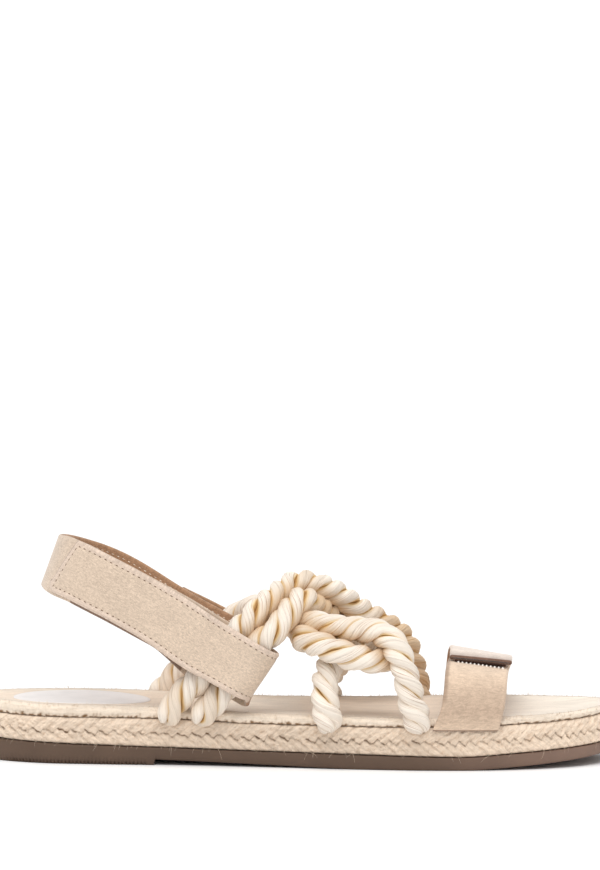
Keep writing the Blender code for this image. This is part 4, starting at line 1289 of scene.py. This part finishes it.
def strap_shell(sheet, thickness, lined, sink, cut, painted_shading=0.0, rolled=0.0, hem=0.0):
    """A sheet given thickness: out along its normals, round its rims in half circles, and back inside.

    lined gives, for each row, how much the face along the normals is lining, sink how far that face is
    pressed in, cut how much the first and the last row show the colour of a cut edge, partly as painted
    shade, painted_shading how much that face takes that colour as painted shade, and hem how much its lower
    edge does, as painted shade. rolled says where that face is paler, on a rolled rim and as
    painted light. Gives the shell and the sheet's normals.
    """
    half = thickness / 2
    faces = unit(np.cross(np.gradient(sheet, axis=0), np.gradient(sheet, axis=1)))
    rows, share = rim_rows(sheet, half)
    added = (len(rows) - len(sheet)) // 2
    normal, lined, sink = (
        np.concatenate([part[:1]] * added + [part] + [part[-1:]] * added) for part in (faces, lined, sink)
    )
    ends = np.concatenate([np.full(added, cut[0]), np.zeros(len(sheet)), np.full(added, cut[1])])[:, None]
    side = unit(np.gradient(rows, axis=1))
    reach = (half * share)[:, None, None]
    rim = np.radians((60.0, 30.0, 0.0, -30.0, -60.0))
    outer = rows + normal * (reach - sink[..., None])
    inner = (rows - normal * reach)[:, ::-1]
    far = []
    near = []
    for a in rim:
        far.append(rows[:, -1:] + normal[:, -1:] * reach * math.sin(a) + side[:, -1:] * reach * math.cos(a))
        near.append(rows[:, :1] - normal[:, :1] * reach * math.sin(a) - side[:, :1] * reach * math.cos(a))
    points = np.concatenate([outer, *far, inner, *near], axis=1)
    across = run_along(rows[len(rows) // 2])
    along = run_along(rows[:, rows.shape[1] // 2])
    inner_uv = 60.0
    spread = np.concatenate([
        across, np.full(len(rim), across[-1]), across[::-1] + inner_uv, np.full(len(rim), inner_uv)
    ])
    uv = np.stack(np.broadcast_arrays(along[:, None], spread), axis=-1)
    split = np.array([0.0, 0.0, 0.35, 1.0, 1.0])
    face = np.concatenate([np.zeros(len(across)), split, np.ones(len(across)), split[::-1]])
    lining = lined[:, None] + (1 - 2 * lined[:, None]) * face
    at_hem = np.arange(len(across)) > len(across) - HEM_COLUMNS
    lower = np.concatenate([np.zeros(len(across) + len(rim)), at_hem, np.ones(len(rim))])
    hem = np.pad(hem + np.zeros(len(sheet)), added)[:, None] * lower
    pale = np.pad(rolled + np.zeros(sheet.shape[:2]), ((added, added), (0, 0)), mode="edge")
    far_pale = np.repeat(pale[:, -1:], len(rim), axis=1) * (1 - split)
    near_pale = np.repeat(pale[:, :1], len(rim), axis=1) * (1 - split[::-1])
    pale = np.concatenate([pale, far_pale, 0 * pale, near_pale], axis=1)
    painted_shading = np.pad(painted_shading + np.zeros(sheet.shape[:2]), ((added, added), (0, 0)))
    far_shading = np.repeat(painted_shading[:, -1:], len(rim), axis=1)
    near_shading = np.repeat(painted_shading[:, :1], len(rim), axis=1)
    painted_shading = np.concatenate([painted_shading, far_shading, 0 * painted_shading, near_shading], axis=1)
    shell = Shell()
    index = shell.add(points, uv, lining=lining, cut=np.maximum(np.maximum(ends, painted_shading), hem), rolled=pale)
    shell.quads(index, wrap=True)
    shell.polygons([index[0], index[-1][::-1]])
    return shell, faces


def stitches(places, along, normal, bead):
    """Thread beads: each is an ellipsoid, a circle carried from pole to pole, laid along its seam."""
    rows = 6
    sides = 6
    side = np.cross(normal, along)
    lat = np.linspace(-1.35, 1.35, rows)
    lon = np.linspace(0.0, TAU, sides, endpoint=False)
    ahead = (bead.length * np.sin(lat))[:, None] + np.zeros(sides)
    aside = bead.width * np.cos(lat)[:, None] * np.cos(lon)
    up = bead.depth * np.cos(lat)[:, None] * np.sin(lon)
    return rods(
        places[:, None, None]
        + along[:, None, None] * ahead[..., None]
        + side[:, None, None] * aside[..., None]
        + normal[:, None, None] * up[..., None]
    )


def heel_back(reach, start, end, steps):
    """Part of an ellipse round the heel, from one angle to another, reach outside the strap."""
    angles = np.radians(np.linspace(start, end, steps))
    return np.column_stack([
        HEEL_CENTRE_U - (HEEL_LENGTH + reach) * np.cos(angles),
        (HEEL_HALF_WIDTH + reach) * np.sin(angles),
    ])


def fold(bight, side):
    """Half a turn round the rope at the bight, from the foot's side round the front to the outside."""
    angles = np.linspace(0.0, math.pi, 9)
    return np.column_stack([
        bight[0] + FOLD_RADIUS * np.sin(angles),
        bight[1] - side * FOLD_RADIUS * np.cos(angles),
    ])


def heel_strap_sheet(look):
    """Middle surface of the heel strap: its path in the falling plane, spread along a leaning width.

    The overlap's end is cut on a slant, so its upper edge starts further along the strap, and the strap's
    upper edge rises at the corner behind it. Round the lateral fold the outer layer's lower corner is
    raised, and the inner layer hangs lower and reaches forward as a tongue. Gives the sheet, for each row
    how much its face along the normal is lining, and the rows where the lateral fold, the inner run and
    the medial fold begin.
    """
    overlap = heel_back(LAYER_PITCH, OVERLAP_END, -90.0, 7)
    outer = [(row.u, row.outer) for row in reversed(LATERAL_LAY)]
    inner = [(row.u, row.inner) for row in LATERAL_LAY]
    back = heel_back(0.0, -90.0, 90.0, 16)
    medial = [(row.u, row.inner) for row in reversed(MEDIAL_LAY)]
    again = [(row.u, row.outer) for row in MEDIAL_LAY[:3]]
    parts = [overlap, outer, fold(LATERAL_BIGHT, -1)[::-1], inner, back, medial, fold(MEDIAL_BIGHT, 1), again]
    lined_parts = (0.0, 0.0, 0.0, 1.0, 1.0, 1.0, 0.0, 0.0)
    turned_over = np.concatenate([np.full(len(part), flag) for part, flag in zip(parts, lined_parts)])
    first_knots = np.cumsum([0] + [len(part) for part in parts])
    turned_over[first_knots[2] + FOLD_SUEDE_KNOTS : first_knots[3]] = 1.0
    spans = 10
    path = through(np.vstack(parts), spans)
    lengths = run_along(path)
    count = round(lengths[-1] / STRAP_ROW_STEP) + 1
    marks = np.linspace(0, lengths[-1], count)
    flags = np.interp(marks, lengths[::spans], turned_over)
    starts = np.searchsorted(marks, lengths[::spans][first_knots[[2, 3, 6]]])
    path = evenly(path, count)
    run = run_along(path)
    slope = math.radians(HEEL_SLOPE)
    forward = np.array([math.cos(slope), 0.0, -math.sin(slope)])
    centres = np.array(HEEL_ORIGIN) + path[:, :1] * forward + path[:, 1:] * np.array([0.0, 1.0, 0.0])
    aside = np.clip(path[:, 1] / HEEL_BOW_WIDTH, -1.0, 1.0)
    bow = monotone(column(HEEL_BOW, "u"), column(HEEL_BOW, "lift"), path[:, 0])
    centres[:, 2] -= np.where(aside < 0, bow, HEEL_MEDIAL_DROP) * aside
    side = np.clip(path[:, 1] / HEEL_HALF_WIDTH, -1.0, 1.0)
    behind = np.clip((HEEL_CENTRE_U - path[:, 0]) / HEEL_LENGTH, 0.0, 1.0)
    front = np.clip(1 + path[:, 0] / HEEL_FRONT_RUN, 0.0, 1.0)
    lean = math.pi / 2 - slope + np.radians(HEEL_LEAN_BACK * behind - HEEL_LEAN_FRONT * front)
    up = unit(np.column_stack([np.cos(lean), -math.sin(math.radians(HEEL_LEAN_IN)) * side, np.sin(lean)]))
    narrow = HEEL_BACK_NARROW * behind ** HEEL_BACK_SHARPNESS
    arc = np.clip((path[:, 0] - HEEL_MEDIAL_BOW_FROM) / HEEL_MEDIAL_BOW_RUN, 0.0, 1.0)
    centres[:, 2] += HEEL_MEDIAL_BOW * np.sin(math.pi * arc) ** 2 * np.clip(aside, 0.0, 1.0) - narrow
    near_end = np.clip(run / HEEL_CORNER, 0.0, 1.0)
    width = look.heel_width / MM - look.thickness / MM
    half = width / 2 - narrow - HEEL_CORNER_CUT * (1 - np.sqrt(1 - (1 - near_end) ** 2))
    across = np.linspace(-1.0, 1.0, STRAP_COLUMNS)
    upper = (1 + across) / 2
    lower = (1 - across) / 2
    sheet = centres[:, None] + up[:, None] * (half[:, None] * across)[..., None]
    sheet[..., 2] += HEEL_END_LIFT * (1 - smooth(*HEEL_END_RISE, run))[:, None] * upper
    from_corner = (path[:, 1] - HEEL_BACK_CORNER_V) / HEEL_BACK_CORNER_REACH
    corner = np.exp(-(from_corner**2)) * behind
    sheet[..., 2] += HEEL_BACK_LIFT * corner[:, None] * upper
    sheet[..., 2] += HEEL_HEM * (1 - smooth(*HEEL_HEM_RISE, run))[:, None] * lower
    # Shares of the way round the lateral fold
    round_fold = (np.arange(count) - starts[0]) / (starts[1] - starts[0])
    droop = HEEL_TONGUE * within(TONGUE_HANGS, round_fold)
    droop = droop - HEEL_FRONT_LIFT * within(FRONT_RISES, round_fold)
    sheet[..., 2] -= droop[:, None] * lower**2
    sheet[..., 0] += HEEL_TONGUE_REACH * within(TONGUE_REACHES, round_fold)[:, None] * lower**3
    slide = HEEL_END_SLANT * upper * np.maximum(0.0, 1 - run / HEEL_END_RUN)[:, None] / STRAP_ROW_STEP
    row = np.arange(count)[:, None] + slide
    column_at = np.broadcast_to(np.arange(STRAP_COLUMNS), row.shape)
    sheet = on_sheet(sheet, row.ravel(), column_at.ravel()).reshape(sheet.shape)
    return sheet, smooth(0.3, 0.7, flags), starts


def toe_sheet(climb, side, flare, top_tilt, width, level):
    """Middle surface of a toe strap half: a smooth climb from the sole's edge, its plan along the outline."""
    rows = np.array([(row.inset, row.z, row.x) for row in climb])
    rows = evenly(through(rows, 10), TOE_ROWS)
    rows = rows[rows[:, 1] > climb[0].z + TOE_TUCK]
    spread = np.maximum(0.0, 1 - (rows[:, 1] - climb[0].z) / TOE_FLARE_RISE) * flare
    tilt = top_tilt * np.clip((rows[:, 1] - climb[0].z) / TOE_TILT_RISE, 0.0, 1.0)
    tilt = tilt * (1 - level * smooth(TOE_LEVEL_FROM, climb[-1].inset, rows[:, 0]))
    part = np.linspace(0.0, 1.0, TOE_COLUMNS)
    left = -width / 2 - spread
    offset = left[:, None] + (width / 2 - left)[:, None] * part
    x = rows[:, 2:3] + offset
    y = edge_y(x, side) - side * rows[:, :1]
    return np.stack([x, y, rows[:, 1:2] - tilt[:, None] * offset], axis=-1)


def on_sheet(grid, row, column_at):
    """Values of a grid at broken row and column numbers, each a mix of the four nearest."""
    r = np.clip(np.floor(row).astype(int), 0, grid.shape[0] - 2)
    c = np.clip(np.floor(column_at).astype(int), 0, grid.shape[1] - 2)
    down = (row - r)[:, None]
    right = (column_at - c)[:, None]
    top = grid[r, c] * (1 - right) + grid[r, c + 1] * right
    low = grid[r + 1, c] * (1 - right) + grid[r + 1, c + 1] * right
    return top * (1 - down) + low * down


def seam(sheet, normal, corners, spacing, lift):
    """Places along a seam from corner to corner on a sheet, with the seam's run and the normal there."""
    corners = np.array(corners, float)
    steps = np.linspace(0, len(corners) - 1, 400 * (len(corners) - 1) + 1)
    row, column_at = (np.interp(steps, np.arange(len(corners)), corners[:, k]) for k in range(2))
    line = on_sheet(sheet, row, column_at)
    run = run_along(line)
    marks = np.arange(spacing / 2, run[-1], spacing)
    row, column_at = (np.interp(marks, run, way) for way in (row, column_at))
    faces = unit(on_sheet(normal, row, column_at))
    ahead = np.stack([np.interp(marks, run, np.gradient(line[:, k])) for k in range(3)], axis=1)
    ahead = unit(ahead - faces * np.sum(ahead * faces, axis=1)[:, None])
    return on_sheet(sheet, row, column_at) + faces * lift, ahead, faces


def hook_tape(sheet, normal, thickness, look):
    """Hook tape under the flap's end: a thinner sheet below the flap, and a row of hooks on the base.

    A hook's height is that of the base at its place, from the base's climb less its tilt.
    """
    tape = (sheet - normal * (thickness / 2 + TAPE_THICKNESS / 2))[-TAPE_ROWS:, 2:-2]
    plain = np.zeros(tape.shape[:2])
    shell = strap_shell(tape, TAPE_THICKNESS, plain[:, 0], plain, (0.0, 0.0))[0]
    place("toe_flap_tape", shell, plain_fibre("woven_tape", look.tape, 0.9))
    first, last = tape[-1, 1], tape[-1, -2]
    part = np.linspace(0.0, 1.0, round(np.linalg.norm(last - first) / HOOK_SPACING))[:, None]
    places = first + (last - first) * part - np.array([0.0, HOOK_REACH, 0.0])
    inset = places[:, 1] - edge_y(places[:, 0], -1)
    base_z = np.interp(inset, column(TOE_BASE, "inset"), column(TOE_BASE, "z"))
    middle = np.interp(inset, column(TOE_BASE, "inset"), column(TOE_BASE, "x"))
    places[:, 2] = base_z - TOE_BASE_TILT * (places[:, 0] - middle) + thickness / 2 + HOOK_LIFT
    ahead = np.broadcast_to(np.array([0.0, -0.8, -0.6]), places.shape)
    side = np.broadcast_to(np.array([0.0, -0.6, 0.8]), places.shape)
    hooks = stitches(places, ahead, side, HOOK_BEAD)
    place("toe_flap_hooks", hooks, plain_fibre("nylon_hook", look.hook, 0.6))


class SANDAL_OT_outsole(bpy.types.Operator):
    """Moulded rubber outsole with a ribbed heel edge"""

    bl_idname = "sandal.outsole"
    bl_label = "Outsole"

    def execute(self, context):
        look = context.scene.sandal_sole
        place("outsole_rubber", outsole_shell(look), moulded_rubber(look), "outsole")
        return {"FINISHED"}


class SANDAL_OT_midsole(bpy.types.Operator):
    """Braided jute midsole with loose hairs, most of them along its lower edge"""

    bl_idname = "sandal.midsole"
    bl_label = "Jute midsole"

    def execute(self, context):
        look = context.scene.sandal_sole
        place("midsole_jute", jute_shell(look), braided_jute(look), "midsole")
        draw = np.random.default_rng(41)
        loop = sole_outline(SOLE_SIDE_POINTS)
        pick = draw.integers(0, len(loop), JUTE_HAIRS)
        way_in = inward(loop)[pick]
        roots = loop[pick] + way_in * 0.9
        share = np.where(draw.random(len(pick)) < 0.6, 0.05, draw.random(len(pick)))
        low = height("outsole_top", roots[:, 0])
        z = low + share * (height("midsole_top", roots[:, 0]) - low)
        ways = np.column_stack([-way_in, draw.normal(-0.3, 0.6, len(pick))])
        ways[:, :2] += draw.normal(0.0, 0.8, (len(pick), 2))
        lengths = np.minimum(draw.gamma(2.0, 0.8, len(pick)), 0.8 * z)
        shell = hairs(np.column_stack([roots, z]), unit(ways), lengths, JUTE_HAIR, 43)
        place("midsole_hairs", shell, plain_fibre("jute_hair", look.jute, 0.8))
        return {"FINISHED"}


class SANDAL_OT_insole(bpy.types.Operator):
    """Suede insole with a plain leather oval at the heel, and the nap's hairs on its edge"""

    bl_idname = "sandal.insole"
    bl_label = "Insole"

    def execute(self, context):
        look = context.scene.sandal_sole
        colours = (look.insole, look.insole_edge, look.insole_seam, look.insole_toe)
        suede = napped_suede("napped_insole_suede", *colours, INSOLE_NAP)
        place("insole_suede", insole_shell(), suede, "insole")
        place("insole_oval", oval_shell(look), smooth_leather(look))
        draw = np.random.default_rng(51)
        loop = sole_outline(SOLE_SIDE_POINTS)
        pick = draw.integers(0, len(loop), INSOLE_HAIRS)
        way_in = inward(loop)[pick]
        turn = draw.uniform(0.15, 1.45, len(pick))
        roots = loop[pick] + way_in * (INSOLE_RIM - (INSOLE_RIM - 1.0) * np.cos(turn) - 0.05)[:, None]
        rise = height("insole_thickness", roots[:, 0]) - GAP
        z = height("midsole_top", roots[:, 0]) + GAP + (0.5 + 0.5 * np.sin(turn)) * rise
        ways = np.column_stack([-way_in * np.cos(turn)[:, None], np.sin(turn)])
        ways = ways + draw.normal(0.0, 0.5, (len(pick), 3))
        lengths = np.minimum(draw.gamma(3.0, 0.33, len(pick)), 2.2)
        shell = hairs(np.column_stack([roots, z]), unit(ways), lengths, SUEDE_HAIR, 53)
        place("insole_hairs", shell, plain_fibre("suede_hair", look.insole_edge, 0.9))
        return {"FINISHED"}


class SANDAL_OT_ropes(bpy.types.Operator):
    """Four twisted ropes that cross on the instep"""

    bl_idname = "sandal.ropes"
    bl_label = "Rope upper"

    def execute(self, context):
        look = context.scene.sandal_rope
        cotton = twisted_cotton_rope(look)
        for name in ROUTES:
            place(name, rope_shell(name, look), cotton, "rope_upper")
        return {"FINISHED"}


class SANDAL_OT_heel_strap(bpy.types.Operator):
    """Suede heel strap folded round the rear ropes, with its seams"""

    bl_idname = "sandal.heel_strap"
    bl_label = "Heel strap"

    def execute(self, context):
        look = context.scene.sandal_strap
        thickness = look.thickness / MM
        colours = (look.suede, look.lining, look.cut, look.rolled)
        suede = napped_suede("napped_heel_suede", *colours, HEEL_NAP)
        sheet, lined, (lateral_fold, inner_run, medial_fold) = heel_strap_sheet(look)
        step = run_along(sheet[len(sheet) // 2])[-1] / (STRAP_COLUMNS - 1)
        low = (look.stitch_inset / MM - thickness / 2) / step
        high = STRAP_COLUMNS - 1 - low
        end = look.stitch_inset / MM / STRAP_ROW_STEP
        columns = np.arange(STRAP_COLUMNS)
        rows = np.arange(len(sheet))[:, None]
        # The seams press the suede in, and outside them it is rolled
        to_seam = np.minimum(np.abs(columns - low), np.abs(columns - high)) * step
        to_end = np.where((columns > low) & (columns < high), np.abs(rows - end) * STRAP_ROW_STEP, 9.0)
        press = np.exp(-((np.minimum(to_seam, to_end) / SEAM_WIDTH) ** 2)) * (rows >= end - 1)
        sink = SEAM_DEPTH * press * (1 - lined)[:, None]
        outside = (columns < low - 0.5) | (columns > high + 0.5) | (rows < end - 0.5)
        rolled = outside * (rows < inner_run) * 1.0
        past_fold = rows[:, 0] - inner_run
        # Painted shade along the lower edge on rows past the fold
        hem = HEEL_HEM_DARK * ((past_fold >= HEEL_HEM_ROWS[0]) & (past_fold < HEEL_HEM_ROWS[1]))
        shell, normal = strap_shell(sheet, thickness, lined, sink, HEEL_CUT, 0.0, rolled, hem)
        place("heel_strap_suede", shell, suede, "heel_strap")
        turn = (lateral_fold + inner_run) / 2
        begin = medial_fold + HEEL_SEAM_LATE
        last = len(sheet) - 1 - end
        face = thickness / 2 - SEAM_DEPTH
        for name, corners, lift, thread in (
            ("heel_seam_lateral", ((turn, low), (end, low), (end, high), (turn, high)), face, look.thread),
            ("heel_seam_medial", ((begin, low), (last, low), (last, high), (begin, high)), face, look.thread),
            ("heel_seam_lining", ((inner_run, high), (medial_fold, high)), thickness / 2, look.lining_thread),
        ):
            beads = stitches(*seam(sheet, normal, corners, look.stitch / MM, lift), THREAD_BEAD)
            place(name, beads, plain_fibre(name + "_thread", thread, 0.8))
        return {"FINISHED"}


class SANDAL_OT_toe_strap(bpy.types.Operator):
    """Suede toe strap in two halves, closed by a flap"""

    bl_idname = "sandal.toe_strap"
    bl_label = "Toe strap"

    def execute(self, context):
        look = context.scene.sandal_strap
        thickness = look.thickness / MM
        colours = (look.toe_suede, look.lining, look.cut, look.flap)
        suede = napped_suede("napped_toe_suede", *colours, TOE_NAP)
        width = look.toe_width / MM - thickness
        for name, climb, side, flare, tilt, level in (
            ("toe_strap_base", TOE_BASE, -1, TOE_BASE_FLARE, TOE_BASE_TILT, 0.0),
            ("toe_strap_flap", TOE_FLAP, 1, 0.0, TOE_FLAP_TILT, TOE_FLAP_LEVEL),
        ):
            sheet = toe_sheet(climb, side, flare, tilt, width, level)
            if side < 0:
                sheet = sheet[:, ::-1]
            flat = np.zeros(sheet.shape[:2])
            # Painted shade by height, where the strap faces away from the light above
            painted_shading = TOE_SHADE * np.interp(sheet[..., 2], column(TOE_SHADED, "z"), column(TOE_SHADED, "amount"))
            if side > 0:
                # The flap's end rows turn to the cut edge colour, partly as painted shade under the end
                painted_shading[-FLAP_END_ROWS:] = np.linspace(0.0, FLAP_END_SHADE, FLAP_END_ROWS)[:, None]
            else:
                # Painted shadow of the flap on the base above the hooks, and painted shade on the base's left
                # edge
                hooks = edge_y(sheet[..., 0], 1) - TOE_FLAP[-1].inset - HOOK_REACH
                shade = HOOK_SHADE * smooth(-1.0, 0.2, sheet[..., 1] - hooks)
                painted_shading[:, 3:-3] = np.maximum(painted_shading, shade)[:, 3:-3]
                painted_shading[:, -1] = np.maximum(painted_shading[:, -1], TOE_EDGE * smooth(*TOE_EDGE_RISE, sheet[:, -1, 2]))
            # Painted highlight on the flap's top, where the light falls on it
            brushed_and_lit = flat + level / TOE_FLAP_LEVEL * smooth(*FLAP_LIT, sheet[:, :1, 2])
            shell, normal = strap_shell(sheet, thickness, flat[:, 0], flat, TOE_CUT, painted_shading, brushed_and_lit)
            place(name + "_suede", shell, suede, name)
        hook_tape(sheet, normal, thickness, look)
        return {"FINISHED"}


class SANDAL_OT_stage(bpy.types.Operator):
    """White floor, soft light and the camera"""

    bl_idname = "sandal.stage"
    bl_label = "Stage"

    def execute(self, context):
        scene = context.scene
        look = scene.sandal_stage
        mesh = bpy.data.meshes.new("studio_floor")
        corners = [(x * FLOOR_REACH, y * FLOOR_REACH, 0) for x, y in ((-1, -1), (1, -1), (1, 1), (-1, 1))]
        mesh.from_pydata(corners, [], [(0, 1, 2, 3)])
        material, tree, shader = blank("painted_floor")
        paint = {"Base Color": rgba(look.floor), "Roughness": 0.9, "Specular IOR Level": 0.0}
        wire(tree, shader, paint, {})
        mesh.materials.append(material)
        floor = bpy.data.objects.new("studio_floor", mesh)
        scene.collection.objects.link(floor)
        world = bpy.data.worlds.new("studio_air")
        world.use_nodes = True
        air = {"Color": (1.0, 1.0, 1.0, 1.0), "Strength": AIR_STRENGTH}
        wire(world.node_tree, world.node_tree.nodes["Background"], air, {})
        scene.world = world
        sun = bpy.data.lights.new("soft_key", "SUN")
        sun.energy = SUN_ENERGY
        sun.angle = math.radians(SUN_ANGLE)
        key = bpy.data.objects.new("soft_key", sun)
        key.rotation_euler = Vector(SUN_WAY).to_track_quat("-Z", "Y").to_euler()
        scene.collection.objects.link(key)
        data = bpy.data.cameras.new("camera")
        data.sensor_fit = "HORIZONTAL"
        data.sensor_width = SENSOR
        data.lens = SENSOR * look.distance / look.field
        data.clip_end = 200.0
        camera = bpy.data.objects.new("camera", data)
        back = Vector((0.0, -math.cos(look.elevation), math.sin(look.elevation)))
        aim = Vector((look.aim_x, 0.0, look.aim_z))
        spot = Matrix.Translation(aim + back * look.distance)
        turn = (-back).to_track_quat("-Z", "Y").to_matrix().to_4x4()
        camera.matrix_world = spot @ turn @ Matrix.Rotation(look.roll, 4, "Z")
        scene.collection.objects.link(camera)
        scene.camera = camera
        scene.view_settings.view_transform = "Standard"
        return {"FINISHED"}


class SANDAL_PT_build(bpy.types.Panel):
    """Lists the steps that build the sandal, with their sizes and colours"""

    bl_idname = "SANDAL_PT_build"
    bl_label = "Rope sandal"
    bl_space_type = "VIEW_3D"
    bl_region_type = "UI"
    bl_category = "Sandal"

    def draw(self, context):
        for group in GROUPS:
            box = self.layout.box()
            look = getattr(context.scene, group)
            for key in look.__annotations__:
                box.prop(look, key)
        for step in STEPS:
            self.layout.operator(step.bl_idname)


GROUPS = {
    "sandal_rope": SandalRope,
    "sandal_sole": SandalSole,
    "sandal_strap": SandalStrap,
    "sandal_stage": SandalStage,
}
STEPS = (
    SANDAL_OT_stage,
    SANDAL_OT_outsole,
    SANDAL_OT_midsole,
    SANDAL_OT_insole,
    SANDAL_OT_ropes,
    SANDAL_OT_heel_strap,
    SANDAL_OT_toe_strap,
)


def register():
    for kind in (*GROUPS.values(), *STEPS, SANDAL_PT_build):
        bpy.utils.register_class(kind)
    for name, kind in GROUPS.items():
        setattr(bpy.types.Scene, name, bpy.props.PointerProperty(type=kind))


def unregister():
    for name in GROUPS:
        delattr(bpy.types.Scene, name)
    for kind in reversed((*GROUPS.values(), *STEPS, SANDAL_PT_build)):
        bpy.utils.unregister_class(kind)


def main():
    register()
    bpy.ops.sandal.stage()
    bpy.ops.sandal.outsole()
    bpy.ops.sandal.midsole()
    bpy.ops.sandal.insole()
    bpy.ops.sandal.ropes()
    bpy.ops.sandal.heel_strap()
    bpy.ops.sandal.toe_strap()
    bpy.context.view_layer.update()


if __name__ == "__main__":
    main()
